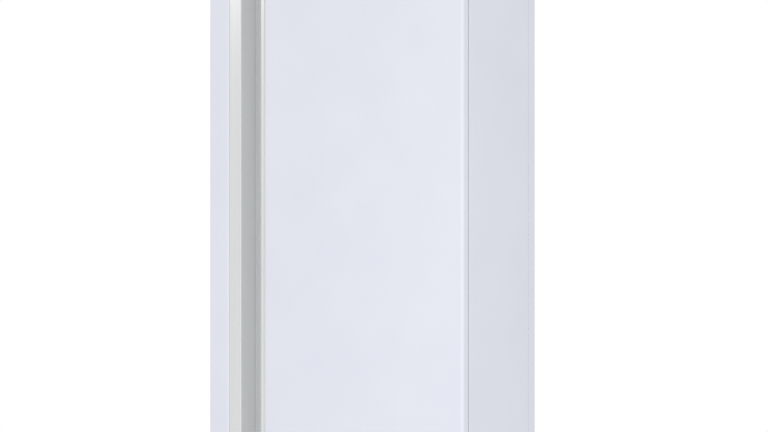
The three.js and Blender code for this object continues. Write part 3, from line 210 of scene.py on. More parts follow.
def plated_steel(name, low, high, roughness, spangle=0.4):
    """Bare, plated or galvanised steel: a bluish silver with a fine rolling grain, and on galvanised
    sheet a spangle of zinc crystals, whose share in the tone is given. The grain is about 0.3 mm on the
    real one, drawn at 1.6 mm so that it shows."""
    metal, tree, shader, coordinates = blank(name, metallic=1.0, roughness=roughness)
    crystals = add(tree, "ShaderNodeTexVoronoi", {"Scale": 1000 / SPANGLE_MM}, {"Vector": coordinates})
    rolling = grain(tree, coordinates, 1.6, 2.0, (1, 1, 0.05))
    crystal = add(tree, "ShaderNodeRGBToBW", {}, {0: crystals.outputs["Color"]}).outputs[0]
    tone = add(tree, "ShaderNodeMix", {"data_type": "FLOAT", 0: 1 - spangle}, {2: crystal, 3: rolling})
    tree.links.new(tint(tree, tone.outputs[0], low, high), shader.inputs["Base Color"])
    vary_roughness(tree, shader, rolling, roughness - 0.08, roughness + 0.1)
    relief(tree, shader, rolling, 0.02, 0.3)
    return metal


def soften(piece, width_mm, sharpest=40):
    """Rounds a piece's sharp edges a little and shades its curves smoothly."""
    for face in piece.data.polygons:
        face.use_smooth = True
    bevel = piece.modifiers.new("edge", "BEVEL")
    bevel.width = width_mm * MM
    bevel.segments = 2
    bevel.limit_method = "ANGLE"
    bevel.angle_limit = math.radians(sharpest)
    bevel.harden_normals = True


def dress(names, material, edge_mm=ZINC_EDGE):
    """Gives CAD nodes their finish and their real edge radius."""
    for name in names:
        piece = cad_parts[name]
        piece.data.materials.clear()
        piece.data.materials.append(material)
        soften(piece, edge_mm)


def facing(way, x, y, z):
    """A place in millimetres whose local z points front, back, left, right, up or down."""
    columns = {
        "front": ((1, 0, 0), (0, 0, 1), (0, -1, 0)),
        "back": ((-1, 0, 0), (0, 0, 1), (0, 1, 0)),
        "right": ((0, 1, 0), (0, 0, 1), (1, 0, 0)),
        "left": ((0, -1, 0), (0, 0, 1), (-1, 0, 0)),
        "up": ((1, 0, 0), (0, 1, 0), (0, 0, 1)),
        "down": ((1, 0, 0), (0, -1, 0), (0, 0, -1)),
    }[way]
    turn = Matrix(columns).transposed().to_4x4()
    return Matrix.Translation(Vector((x, y, z)) * MM) @ turn


def skin(shape, rings, closed=False):
    """Joins rings of points with faces, and caps the ends unless the rings close on themselves."""
    count = len(rings[0])
    pairs = list(zip(rings, rings[1:] + rings[:1])) if closed else list(zip(rings, rings[1:]))
    for low, high in pairs:
        for k in range(count):
            shape.faces.new((low[k], low[(k + 1) % count], high[(k + 1) % count], high[k]))
    if not closed:
        shape.faces.new(rings[0][::-1])
        shape.faces.new(rings[-1])


def turned(shape, place, profile, sides=28, closed=False):
    """A piece turned round its local z axis, from pairs of radius and height."""
    rings = []
    for radius, height in profile:
        angles = [2 * math.pi * k / sides for k in range(sides)]
        ring = [place @ (Vector((radius * math.cos(a), radius * math.sin(a), height)) * MM) for a in angles]
        rings.append([shape.verts.new(point) for point in ring])
    skin(shape, rings, closed)


def raised(shape, place, outline, low, high, chamfer=0.0):
    """A flat outline pushed from one height to another, with its top edge drawn in by a chamfer."""
    centre = Vector((sum(p[0] for p in outline), sum(p[1] for p in outline))) / len(outline)
    levels = [(low, 0.0), (high - chamfer, 0.0), (high, chamfer)] if chamfer else [(low, 0.0), (high, 0.0)]
    rings = []
    for height, inset in levels:
        ring = []
        for x, y in outline:
            reach = Vector((x, y)) - centre
            reach = reach - Vector((math.copysign(inset, reach.x), math.copysign(inset, reach.y)))
            point = Vector((centre.x + reach.x, centre.y + reach.y, height)) * MM
            ring.append(shape.verts.new(place @ point))
        rings.append(ring)
    skin(shape, rings)


def rounded(width, height, radius, x=0.0, y=0.0, steps=5):
    """The outline of a rectangle with round corners, centred on x, y."""
    outline = []
    corners = [(1, -1, -90), (1, 1, 0), (-1, 1, 90), (-1, -1, 180)]
    for side, end, start in corners:
        centre = (x + side * (width / 2 - radius), y + end * (height / 2 - radius))
        for k in range(steps + 1):
            angle = math.radians(start + 90 * k / steps)
            outline.append((centre[0] + radius * math.cos(angle), centre[1] + radius * math.sin(angle)))
    return outline


def fit(name, shape, material, body, replaces=(), edge_mm=0.0):
    """Makes a piece from its mesh, finishes it and fixes it to a body of the unit."""
    mesh = bpy.data.meshes.new(name)
    bmesh.ops.recalc_face_normals(shape, faces=shape.faces)
    shape.to_mesh(mesh)
    shape.free()
    piece = bpy.data.objects.new(name, mesh)
    bpy.context.scene.collection.objects.link(piece)
    mesh.materials.append(material)
    if edge_mm:
        soften(piece, edge_mm)
    else:
        mesh.shade_smooth()
        mesh.set_sharp_from_angle(angle=math.radians(35))
    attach(piece, body)
    if replaces:
        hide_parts(*replaces)
    return piece


def limits(node):
    """A CAD node's lowest and highest corners, in millimetres."""
    low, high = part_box(node)
    return Vector(low) / MM, Vector(high) / MM


def screw_head(shape, place, radius=3.6, height=2.0, recess=1.7):
    """A pan-head screw with a round socket."""
    turned(shape, place, [(radius, -0.3), (radius, 0.5 * height), (0.85 * radius, 0.85 * height),
                          (0.6 * radius, height), (recess, height), (recess, 0.35 * height)], 24)


def rivet_head(shape, place, radius=3.4, height=1.2):
    """A domed blind rivet with the hole that its pin leaves."""
    turned(shape, place, [(radius, -0.2), (radius, 0.2), (0.8 * radius, 0.7 * height),
                          (0.4 * radius, height), (0.28 * radius, 0.6 * height)], 20)


def hex_bolt(shape, place, radius=7.5, height=5.5, washer=10.0):
    """A hexagon head on a flat washer."""
    turned(shape, place, [(washer, 0.1), (washer, 1.4), (washer - 0.4, 1.7)], 32)
    turned(shape, place, [(radius, 1.7), (radius, height + 1.2), (0.88 * radius, height + 1.7)], 6)


zinc = plated_steel("zinc_plated_steel", "A9AFB4", "C6CACD", 0.38)
dress(["wall_bracket", "hanger_rail"], zinc)

BRACKET_SHEET = 3
FIXING_X = 175
FIXING_Z = 410
bolts = bmesh.new()
for x in (-FIXING_X, FIXING_X):
    for z in (-FIXING_Z, 0, FIXING_Z):
        hex_bolt(bolts, facing("front", x, -BRACKET_SHEET, z))
fit("bracket_bolts", bolts, zinc, "cabinet", edge_mm=0.2)

_, rail_high = limits("hanger_rail")
PAN_BACK = -18
RAIL_SHEET = 2
rivets = bmesh.new()
for x in range(-160, 161, 80):
    for drop in (28, 58):
        rivet_head(rivets, facing("back", x, PAN_BACK + 0.4 + RAIL_SHEET, rail_high.z - drop), 4.2, 1.6)
fit("rail_rivets", rivets, zinc, "cabinet")

# ---------------------------------------------------------------------------------------------------------
# Painted shell: back pan, post, side panel, end caps, frame and end plates. All are folded sheet steel in
# a cool white polyester powder coat, riveted at the back. The caps have countersunk screws at the sides.


def powder_coat(name, low, high, peel_mm=2.6, roughness=0.42):
    """Powder coat. It melts into a satin film with a fine orange peel, about 1 mm across on the real one
    and drawn coarser so that it shows. The film's thickness makes the tone faintly cloudy."""
    coat, tree, shader, coordinates = blank(name, roughness=roughness)
    broad = grain(tree, coordinates, 120, 1.0)
    peel = grain(tree, coordinates, peel_mm, 1.5)
    mottle = add(tree, "ShaderNodeMix", {"data_type": "FLOAT", 0: 0.45}, {2: broad, 3: peel})
    tree.links.new(tint(tree, mottle.outputs[0], low, high), shader.inputs["Base Color"])
    vary_roughness(tree, shader, peel, roughness - 0.05, roughness + 0.07)
    relief(tree, shader, peel, 0.05, 0.35)
    return coat


FOLD_EDGE = 0.7
LASER_EDGE = 0.4

white_coat = powder_coat("white_powder_coat", "E4E7F1", "E7EAF3", roughness=0.6)
dress(["back_pan", "left_post", "right_side_panel", "top_cap", "base_trim"], white_coat, FOLD_EDGE)
dress(["door_frame", "roof_plate", "gland_plate"], white_coat, LASER_EDGE)

pan_low, pan_high = limits("back_pan")
FLANGE_MIDDLE = 9
pan_rivets = bmesh.new()
for x in (pan_low.x + FLANGE_MIDDLE, pan_high.x - FLANGE_MIDDLE):
    for z in range(-600, 601, 150):
        rivet_head(pan_rivets, facing("back", x, PAN_BACK, z))
fit("pan_rivets", pan_rivets, white_coat, "cabinet")

cap_screws = bmesh.new()
for way, x in (("left", pan_low.x), ("right", pan_high.x)):
    for z in (pan_low.z - 16, pan_high.z + 16):
        for y in (-45, -175):
            turned(cap_screws, facing(way, x, y, z),
                   [(3.9, -0.6), (3.9, 0.15), (3.5, 0.45), (2.0, 0.45), (1.9, -0.45)], 24)
fit("cap_screws", cap_screws, white_coat, "cabinet")

# ---------------------------------------------------------------------------------------------------------
# Finger groove and door grip: aluminium extrusions, glass-bead blasted and clear anodised. The groove is
# one channel with its left lip, and its floor holds the button and the status light. The grip is screwed
# to the door's edge through its web.


def blasted_aluminium(name, low, high, speckle_mm=2.2):
    """Blasted and anodised aluminium. The beads leave 0.2 mm dimples, drawn coarser so that they show, and
    the die leaves faint long streaks. The oxide is part of what is seen, so it is not a full mirror."""
    metal, tree, shader, coordinates = blank(name, metallic=0.15, roughness=0.38)
    speckle = grain(tree, coordinates, speckle_mm, 3.0)
    streaks = grain(tree, coordinates, 3, 1.0, (1, 1, 0.006))
    both = add(tree, "ShaderNodeMix", {"data_type": "FLOAT", 0: 0.35}, {2: speckle, 3: streaks})
    tree.links.new(tint(tree, both.outputs[0], low, high), shader.inputs["Base Color"])
    vary_roughness(tree, shader, speckle, 0.3, 0.42)
    relief(tree, shader, speckle, 0.06, 0.35)
    return metal


anodised = blasted_aluminium("blasted_anodised_aluminium", "DEE0E0", "E7E9E9")
dress(["grip_channel", "door_grip"], anodised, 0.35)

_, grip_high = limits("door_grip")
GRIP_WEB = 4.5
SCREW_Y = -210.5
grip_screws = bmesh.new()
for z in range(-600, 601, 200):
    turned(grip_screws, facing("left", grip_high.x - GRIP_WEB, SCREW_Y, z),
           [(2.9, -0.4), (2.9, 0.1), (2.6, 0.4), (1.4, 0.4), (1.3, -0.3)], 20)

# ---------------------------------------------------------------------------------------------------------
# Button, status light and their board. The button is a moulded cap in a turned stainless ring, with a
# dished face and a light ring. The light is a slim opal acrylic lens over a row of lamps.


def moulded(name, low, high, roughness=0.5, texture_mm=1.2, glow=0.0):
    """Moulded plastic or rubber: spark-eroded texture from the tool, and slightly cloudy colour."""
    plastic, tree, shader, coordinates = blank(name, roughness=roughness)
    texture = grain(tree, coordinates, texture_mm, 2.0)
    tree.links.new(tint(tree, texture, low, high), shader.inputs["Base Color"])
    vary_roughness(tree, shader, texture, roughness - 0.06, roughness + 0.08)
    relief(tree, shader, texture, 0.05, 0.4)
    if glow:
        shader.inputs["Emission Color"].default_value = colour(high)
        shader.inputs["Emission Strength"].default_value = glow
    return plastic


stainless = plated_steel("satin_stainless", "C0C2C4", "CBCDCE", 0.28, spangle=0)
grey_abs = moulded("light_grey_abs", "C2C4C6", "CDCFD1", 0.45)
opal = moulded("opal_acrylic", "E9ECEF", "F1F3F5", 0.25, 4)
lit = moulded("lit_green_lens", "7FD8A0", "9BE8B6", 0.25, 2, 0.6)
solder_mask = moulded("green_solder_mask", "12452B", "1A5636", 0.3, 3)
fit("grip_screws", grip_screws, stainless, "door")

dress(["button_bezel"], stainless, 0.3)
dress(["status_lens"], opal, 0.3)
dress(["status_board"], solder_mask, 0.2)

button_low, button_high = limits("power_button")
button_at = (button_low + button_high) / 2
BUTTON_RADIUS = 8
button_length = button_high.y - button_low.y
cap = bmesh.new()
turned(cap, facing("back", button_at.x, button_low.y, button_at.z), [
    (4.3, 0.75), (4.8, 0.7), (5.1, 0.25), (6.4, 0.1), (6.9, 0.0), (7.6, 0.25), (BUTTON_RADIUS, 0.8),
    (BUTTON_RADIUS, button_length - 1.4), (9.4, button_length - 1.3), (9.4, button_length)], 40)
fit("power_button_cap", cap, grey_abs, "power_button", ["power_button"])
glow_ring = bmesh.new()
turned(glow_ring, facing("front", button_at.x, button_low.y + 0.9, button_at.z),
       [(2.1, 0.0), (2.9, 0.0), (2.9, 0.45), (2.1, 0.45)], 32, closed=True)
fit("button_light_ring", glow_ring, lit, "power_button")

board_low, _ = limits("status_board")
lens_low, lens_high = limits("status_lens")
lamps = bmesh.new()
for step in range(-5, 6):
    at = facing("front", button_at.x, board_low.y + 12.2, (lens_low.z + lens_high.z) / 2 + 10 * step)
    raised(lamps, at, rounded(3.4, 2.8, 0.4), -0.4, 1.0, 0.3)
fit("lamp_row", lamps, lit, "cabinet")

# ---------------------------------------------------------------------------------------------------------
# Door: one sheet folded into a shallow pan, with a wider bend at the hinge side that wraps to the side.
# A zinc-plated stiffener is spot-welded inside it, and an EPDM bulb seal runs round the frame's rim.

dress(["door_panel"], white_coat, 0.8)
dress(["door_stiffener"], zinc, 0.4)

stiff_low, stiff_high = limits("door_stiffener")
WELD_PITCH = 60
WELD_DENT = [(3.2, 0.0), (2.9, 0.25), (1.6, 0.15), (0.5, 0.1)]
welds = bmesh.new()
down_the_sides = [(x, z) for x in (stiff_low.x + 8, stiff_high.x - 8) for z in range(-600, 601, WELD_PITCH)]
across_the_bars = [(x, z) for z in (stiff_low.z + 12, -8, 8, stiff_high.z - 12)
                   for x in range(-120, 261, WELD_PITCH)]
for x, z in down_the_sides + across_the_bars:
    turned(welds, facing("back", x, stiff_high.y, z), WELD_DENT, 16)
fit("spot_welds", welds, zinc, "door")

seal_low, seal_high = limits("door_seal")
SEAL_WIDTH = 12
SEAL_CORNER = 14
BULB_STEPS = 10
epdm = moulded("epdm_rubber", "141415", "1D1D1F", 0.72, 0.9)
half_width = (seal_high.x - seal_low.x) / 2
half_height = (seal_high.z - seal_low.z) / 2
seal_x = (seal_high.x + seal_low.x) / 2
seal_z = (seal_high.z + seal_low.z) / 2
depth = seal_high.y - seal_low.y
section = [(0.0, 0.0), (SEAL_WIDTH, 0.0), (SEAL_WIDTH, 2.2), (SEAL_WIDTH - 1.2, 2.6)]
for k in range(BULB_STEPS + 1):
    angle = math.radians(-10 + 200 * k / BULB_STEPS)
    bulb = (depth - 2.4) / 2
    section.append((SEAL_WIDTH / 2 + 4.6 * math.cos(angle), 2.4 + bulb + bulb * math.sin(angle)))
section += [(1.2, 2.6), (0.0, 2.2)]
seal = bmesh.new()
rings = []
for inset, height in section:
    outline = rounded(2 * (half_width - inset), 2 * (half_height - inset), SEAL_CORNER, seal_x, seal_z, 8)
    rings.append([seal.verts.new(Vector((x, seal_low.y + height, z)) * MM) for x, z in outline])
skin(seal, rings, closed=True)
fit("bulb_seal", seal, epdm, "door", ["door_seal"])

# ---------------------------------------------------------------------------------------------------------
# Hinges: a turned steel pin at the top and bottom, in a zinc-plated bracket under the cap, runs in an
# acetal bush in the door. Each bracket is held by two screws.

black_nylon = moulded("black_nylon", "17181A", "202124")
dress(["hinge_bracket_top", "hinge_bracket_bottom"], zinc, 0.25)
dress(["hinge_pin_top", "hinge_pin_bottom"], stainless, 0.3)
dress(["hinge_bush_top", "hinge_bush_bottom"], black_nylon, 0.3)
for end, way in (("top", "up"), ("bottom", "down")):
    plate_low, plate_high = limits(f"hinge_bracket_{end}")
    height = plate_high.z if end == "top" else plate_low.z
    heads = bmesh.new()
    for step in (0.55, 0.85):
        y = plate_low.y + step * (plate_high.y - plate_low.y)
        screw_head(heads, facing(way, (plate_low.x + plate_high.x) / 2, y, height))
    fit(f"hinge_screws_{end}", heads, stainless, "cabinet")

# ---------------------------------------------------------------------------------------------------------
# Quarter-turn latches: a stainless housing clamps in the door with a hexagon nut, and its rotor, turned
# with a triangle key, swings a zinc-plated cam behind the frame. A nut and washer hold the cam.

dress(["latch_housing_top", "latch_housing_bottom"], stainless, 0.35)
dress(["latch_cam_top", "latch_cam_bottom"], zinc, 0.25)
for end in ("top", "bottom"):
    cam_low, cam_high = limits(f"latch_cam_{end}")
    house_low, house_high = limits(f"latch_housing_{end}")
    x, z = (house_low.x + house_high.x) / 2, (house_low.z + house_high.z) / 2
    nut = bmesh.new()
    hex_bolt(nut, facing("back", x, cam_high.y, z), 5.6, 4.2, 7.2)
    turned(nut, facing("back", x, cam_high.y, z), [(3.0, 5.0), (3.0, 7.6), (2.6, 8.0)], 20)
    fit(f"cam_nut_{end}", nut, stainless, f"latch_{end}", edge_mm=0.2)
    collar = bmesh.new()
    turned(collar, facing("front", x, house_low.y + 0.2, z),
           [(9.2, 0.0), (11.6, 0.0), (11.6, 0.35), (11.1, 0.55), (9.7, 0.55), (9.2, 0.3)], 40, closed=True)
    fit(f"latch_ring_{end}", collar, stainless, "door")

# ---------------------------------------------------------------------------------------------------------
# Mounting plate and shelves: galvanised sheet. The plate stands on feet that are screwed to the back pan,
# and two folded shelves carry the modules.

dress(["mounting_plate", "module_shelf_1", "module_shelf_2"], zinc, 0.4)
plate_low, plate_high = limits("mounting_plate")
plate_screws = bmesh.new()
for x in (plate_low.x + 20, plate_high.x - 20):
    for z in (plate_low.z + 30, 0, plate_high.z - 30):
        hex_bolt(plate_screws, facing("front", x, plate_low.y, z), 4.6, 3.4, 6.5)
fit("plate_screws", plate_screws, stainless, "cabinet", edge_mm=0.15)

# ---------------------------------------------------------------------------------------------------------
# Battery modules: each is a charcoal powder-coated steel case with a screwed front. Pressed ribs stiffen
# the front, and it carries data sockets, an earth stud, status lamps, a vent and a bow handle. The cells
# behind it are in blue film.

charcoal_coat = powder_coat("charcoal_powder_coat", "2C2F33", "34373B", 1.8, 0.5)
cell_film = moulded("blue_cell_film", "24508F", "2D5CA0", 0.35, 6)
gold_pins = plated_steel("gold_plated_contacts", "C79A3E", "E0BC66", 0.25, spangle=0)
SCREW_INSET = 9
PANEL_SCREW = (4.0, 2.2, 1.9)
FITTING_DROP = 30
RIBS = 9
RIB_PITCH = 11
LOWEST_RIB = 34
DATA_SOCKET_XS = (-62, -36)
LAMP_XS = (-4, 8, 20, 32)
STUD_X = 72
for number in (1, 2):
    dress([f"module_case_{number}", f"module_front_{number}"], charcoal_coat, 0.8)
    dress([f"cell_block_{number}"], cell_film, 0.5)
    dress([f"module_handle_{number}"], black_nylon, 1.6)
    front_low, front_high = limits(f"module_front_{number}")
    middle = (front_low.x + front_high.x) / 2
    half = (front_high.x - front_low.x) / 2
    tall = front_high.z - front_low.z
    face = facing("front", middle, front_low.y, front_low.z)

    ribs = bmesh.new()
    for k in range(RIBS):
        bar = rounded(2 * half - 96, 4.4, 2.1, 0, LOWEST_RIB + k * RIB_PITCH)
        raised(ribs, face, bar, -0.2, 1.5, 0.8)
    frame_outline = rounded(2 * half - 40, 5, 2.4, 0, tall - 62)
    raised(ribs, face, frame_outline, -0.2, 1.2, 0.6)
    fit(f"module_ribs_{number}", ribs, charcoal_coat, "cabinet")

    screws = bmesh.new()
    for x in (-half + SCREW_INSET, 0, half - SCREW_INSET):
        for z in (SCREW_INSET, tall - SCREW_INSET):
            screw_head(screws, face @ facing("up", x, z, 0), *PANEL_SCREW)
    for z in (tall / 2 - 60, tall / 2 + 60):
        for x in (-half + SCREW_INSET, half - SCREW_INSET):
            screw_head(screws, face @ facing("up", x, z, 0), *PANEL_SCREW)
    stud = face @ facing("up", STUD_X, tall - FITTING_DROP, 0)
    turned(screws, stud, [(8, 0.0), (8, 1.2), (7.6, 1.5)], 28)
    turned(screws, stud, [(5.6, 1.5), (5.6, 5.4), (5.0, 5.9)], 6)
    turned(screws, stud, [(2.9, 5.0), (2.9, 9.0), (2.4, 9.5)], 20)
    fit(f"module_screws_{number}", screws, stainless, "cabinet")

    fittings = bmesh.new()
    for x in DATA_SOCKET_XS:
        for side in (1, -1):
            raised(fittings, face, rounded(20, 3, 0.8, x, tall - FITTING_DROP + side * 8.2), -0.2, 5, 0.5)
            raised(fittings, face, rounded(3, 16, 0.8, x + side * 8.5, tall - FITTING_DROP), -0.2, 5, 0.5)
        raised(fittings, face, rounded(14, 14, 0.6, x, tall - FITTING_DROP), -0.2, 1.0)
    for x in (-57, 57):
        raised(fittings, face, rounded(26, 24, 4, 1.06 * x, tall / 2), -0.2, 2.4, 0.8)
    for k in range(6):
        raised(fittings, face, rounded(2.4, 20, 1.1, 100 + 5.5 * k - 14, tall / 2), -0.2, 1.6, 0.4)
    fit(f"module_fittings_{number}", fittings, black_nylon, "cabinet")

    pins = bmesh.new()
    for x in DATA_SOCKET_XS:
        for k in range(8):
            raised(pins, face, rounded(0.6, 5, 0.2, x - 4.2 + 1.2 * k, tall - 27), 1.0, 2.2)
    fit(f"data_pins_{number}", pins, gold_pins, "cabinet")

    lamps = bmesh.new()
    for x in LAMP_XS:
        turned(lamps, face @ facing("up", x, tall - FITTING_DROP, 0),
               [(2.6, -0.2), (2.6, 1.0), (2.1, 1.8), (1.2, 2.3), (0.4, 2.45)], 20)
    fit(f"module_lamps_{number}", lamps, lit, "cabinet")

# ---------------------------------------------------------------------------------------------------------
# Power sockets: moulded flanges on the modules, red for positive and black for negative. Each has four
# screws, and a ribbed collar that the plug locks on.

red_abs = moulded("red_abs", "9E1B14", "B3261E", 0.4)
SOCKET_BASE = 8.3
TEETH = 12
FLANGE_SCREW = 9.8
poles = [("positive", red_abs, "red_plastic"), ("negative", black_nylon, "black_plastic")]
for number in (1, 2):
    for pole, plastic, slot in poles:
        node = f"socket_{pole}_{number}"
        dress([node], plastic, 0.8)
        low, high = limits(node)
        centre = facing("front", (low.x + high.x) / 2, high.y, (low.z + high.z) / 2)
        teeth = bmesh.new()
        for k in range(TEETH):
            turn = Matrix.Rotation(2 * math.pi * k / TEETH, 4, "Z")
            tooth = rounded(1.6, 2.4, 0.5, 0, 9.8)
            raised(teeth, centre @ turn, tooth, SOCKET_BASE - 0.2, SOCKET_BASE + 3.0, 0.4)
        fit(f"{node}_teeth", teeth, plastic, "cabinet")
        corners = bmesh.new()
        for x in (-FLANGE_SCREW, FLANGE_SCREW):
            for z in (-FLANGE_SCREW, FLANGE_SCREW):
                screw_head(corners, centre @ facing("up", x, z, SOCKET_BASE - 0.3), 1.9, 1.2, 0.9)
        fit(f"{node}_screws", corners, stainless, "cabinet")

# ---------------------------------------------------------------------------------------------------------
# Leads: 9 mm silicone-sheathed cable on a given route, clipped by ties, with a right-angled plug
# at each socket. A plug is a moulded elbow with a ribbed release ring and a ribbed boot.

sheath = moulded("silicone_sheath", "151516", "1C1C1E", 0.55, 1.5)
LEAD_RADIUS = 4.5
ROUTE_STEPS = 9
LEAD_SIDES = 18


def smooth_route(route):
    """Points on one smooth centripetal curve through the points of a route."""
    knots = [Vector(point) for point in route]
    knots = [2 * knots[0] - knots[1], *knots, 2 * knots[-1] - knots[-2]]
    points = []
    for a, b, c, d in zip(knots, knots[1:], knots[2:], knots[3:]):
        before, span, after = (max((q - p).length, 1e-6) ** 0.5 for p, q in ((a, b), (b, c), (c, d)))
        leave = ((b - a) / before - (c - a) / (before + span) + (c - b) / span) * span
        arrive = ((c - b) / span - (d - b) / (span + after) + (d - c) / after) * span
        for k in range(ROUTE_STEPS):
            t = k / ROUTE_STEPS
            points.append((2 * t**3 - 3 * t**2 + 1) * b + (t**3 - 2 * t**2 + t) * leave
                          + (3 * t**2 - 2 * t**3) * c + (t**3 - t**2) * arrive)
    return points + [knots[-2]]


def cable(shape, points, radius=LEAD_RADIUS, sides=LEAD_SIDES):
    """A round cable along points, with its section carried along without twist."""
    rings = []
    side = Vector((1, 0, 0))
    for k, point in enumerate(points):
        along = (points[min(k + 1, len(points) - 1)] - points[max(k - 1, 0)]).normalized()
        side = (side - along * side.dot(along)).normalized()
        other = along.cross(side)
        angles = [2 * math.pi * n / sides for n in range(sides)]
        ring = [point + radius * (side * math.cos(a) + other * math.sin(a)) for a in angles]
        rings.append([shape.verts.new(p * MM) for p in ring])
    skin(shape, rings)


def socket_centre(pole, number):
    """The middle of a module socket's mouth, in millimetres."""
    low, high = limits(f"socket_{pole}_{number}")
    return (low.x + high.x) / 2, low.y - 0.3, (low.z + high.z) / 2


def plug(shape, pole, number, way):
    """A plug on a socket, with its boot upwards or downwards."""
    x, face, z = socket_centre(pole, number)
    turned(shape, facing("front", x, face, z), [
        (9.0, 0.0), (9.0, 1.2), (8.2, 1.6), (8.2, 3.2), (9.0, 3.6), (9.0, 5.4), (8.6, 6.0), (8.6, 13.0),
        (7.6, 15.2), (5.6, 16.0)], 32)
    boot = [(7.8, 6.0), (7.8, 10.0)]
    for k in range(4):
        ridge, valley, start = 7.0 - 0.3 * k, 6.2 - 0.3 * k, 2.6 * k
        boot += [(ridge, start + 10.6), (valley, start + 11.2), (valley, start + 12.0), (ridge, start + 12.6)]
    boot += [(5.4, 21.4), (4.7, 22.0)]
    turned(shape, facing(way, x, face - 8, z), boot, 28)


high_x, plug_face, high_z = socket_centre("positive", 2)
low_x, _, low_z = socket_centre("negative", 1)
module_low, _ = limits("module_case_1")
upper_low, _ = limits("module_case_2")
body_low, body_high = limits("isolator_body")
front = plug_face - 8
shelf = module_low.z
gap = upper_low.z - 6
isolator_x = (body_low.x + body_high.x) / 2
isolator_top = body_high.z + 0.8
TERMINAL_Y = -76
TIE_BAND = [(4.3, -1.8), (5.4, -1.8), (5.6, -1.4), (5.6, 1.4), (5.4, 1.8), (4.3, 1.8)]
TIE_SHARES = (0.28, 0.52, 0.76)
middle_x = (high_x + low_x) / 2

positive_route = [
    (high_x, front, high_z - 16), (high_x, front, high_z - 50), (high_x - 22, front, high_z - 110),
    (high_x - 28, front, high_z - 200), (high_x - 28, front, shelf + 120), (high_x - 26, front, shelf + 10),
    (high_x - 8, front + 12, shelf - 28), (high_x + 50, TERMINAL_Y - 64, shelf - 46),
    (isolator_x - 34, TERMINAL_Y - 20, shelf - 50), (isolator_x - 20, TERMINAL_Y, isolator_top + 12),
    (isolator_x - 20, TERMINAL_Y, isolator_top),
]
negative_route = [
    (low_x, front, low_z - 16), (low_x, front, low_z - 50), (low_x + 14, front, low_z - 110),
    (low_x + 16, front, shelf + 100), (low_x + 12, front, shelf + 4), (low_x - 14, front + 14, shelf - 30),
    (isolator_x + 80, TERMINAL_Y - 56, shelf - 46), (isolator_x + 36, TERMINAL_Y - 18, shelf - 50),
    (isolator_x + 20, TERMINAL_Y, isolator_top + 12), (isolator_x + 20, TERMINAL_Y, isolator_top),
]
link_route = [
    (low_x, front, high_z - 16), (low_x, front, high_z - 60), (low_x, front, gap + 90),
    (low_x - 18, front, gap + 28), (low_x - 70, front, gap + 6), (middle_x, front, gap),
    (high_x + 60, front, gap + 4), (high_x + 14, front, gap + 8), (high_x, front, gap - 8),
    (high_x, front, low_z + 16),
]
plugs_on = {
    "lead_positive": [("positive", 2, "down")], "lead_negative": [("negative", 1, "down")],
    "lead_link": [("negative", 2, "down"), ("positive", 1, "up")],
}
ties = bmesh.new()
routes = {"lead_positive": positive_route, "lead_negative": negative_route, "lead_link": link_route}
for name, route in routes.items():
    lead = bmesh.new()
    points = smooth_route(route)
    cable(lead, points)
    for pole, number, way in plugs_on[name]:
        plug(lead, pole, number, way)
    fit(f"{name}_cable", lead, sheath, "cabinet", [name])
    for share in TIE_SHARES:
        at = int(share * len(points))
        along = (points[at + 1] - points[at - 1]).normalized()
        place = Matrix.Translation(points[at] * MM) @ along.to_track_quat("Z", "Y").to_matrix().to_4x4()
        turned(ties, place, TIE_BAND, 24, closed=True)
        raised(ties, place, rounded(4.6, 3.6, 0.6, 0, 7.0), -2.4, 2.4, 0.5)
fit("cable_ties", ties, black_nylon, "cabinet")

# Marker sleeves at the isolator end: red heat-shrink on the positive lead and blue on the negative.
blue_sleeve = moulded("blue_heat_shrink", "1F4E9C", "2A5DB0", 0.45)
sleeves = [("sleeve_positive", positive_route, red_abs, "red_plastic"),
           ("sleeve_negative", negative_route, blue_sleeve, "cell_wrap")]
for name, route, plastic, slot in sleeves:
    x, y, z = route[-1]
    sleeve = bmesh.new()
    turned(sleeve, facing("up", x, y, z), [(4.6, 0.2), (5.2, 0.3), (5.3, 9.0), (5.0, 10.5), (4.6, 11.0)], 24)
    fit(name, sleeve, plastic, "cabinet")

# ---------------------------------------------------------------------------------------------------------
# Controller: a grey powder-coated box over the modules. Its cover is held by screws and has pressed louvres
# and a dark window over its status lamps. The board behind it carries contactors, a fuse and chokes.

grey_coat = powder_coat("grey_powder_coat", "B4B7BA", "BDC0C3", 1.8, 0.5)
window_acrylic = moulded("smoked_acrylic", "0D0E10", "131417", 0.12, 8)
dress(["controller_case", "controller_cover"], grey_coat, 0.8)
dress(["controller_board"], solder_mask, 0.2)
cover_low, cover_high = limits("controller_cover")
cover_half = (cover_high.x - cover_low.x) / 2
cover_tall = cover_high.z - cover_low.z
cover = facing("front", (cover_low.x + cover_high.x) / 2, cover_low.y, cover_low.z)
louvres = bmesh.new()
for side in (-1, 1):
    for k in range(10):
        outline = rounded(92, 4.6, 2.2, side * (cover_half - 66), 30 + 12 * k)
        raised(louvres, cover, outline, -0.2, 2.2, 1.1)
raised(louvres, cover, rounded(2 * cover_half - 26, 4, 1.9, 0, cover_tall - 26), -0.2, 1.2, 0.6)
fit("cover_louvres", louvres, grey_coat, "cabinet")
cover_screws = bmesh.new()
for x in (-cover_half + SCREW_INSET, 0, cover_half - SCREW_INSET):
    for z in (SCREW_INSET, cover_tall - SCREW_INSET):
        screw_head(cover_screws, cover @ facing("up", x, z, 0), *PANEL_SCREW)
fit("cover_screws", cover_screws, stainless, "cabinet")
window = bmesh.new()
raised(window, cover, rounded(92, 56, 6, 0, 112), -0.2, 2.0, 0.7)
fit("cover_window", window, window_acrylic, "cabinet")
cover_lamps = bmesh.new()
for k in range(5):
    raised(cover_lamps, cover, rounded(8, 3, 1.4, -28 + 14 * k, 96), 1.8, 2.5, 0.3)
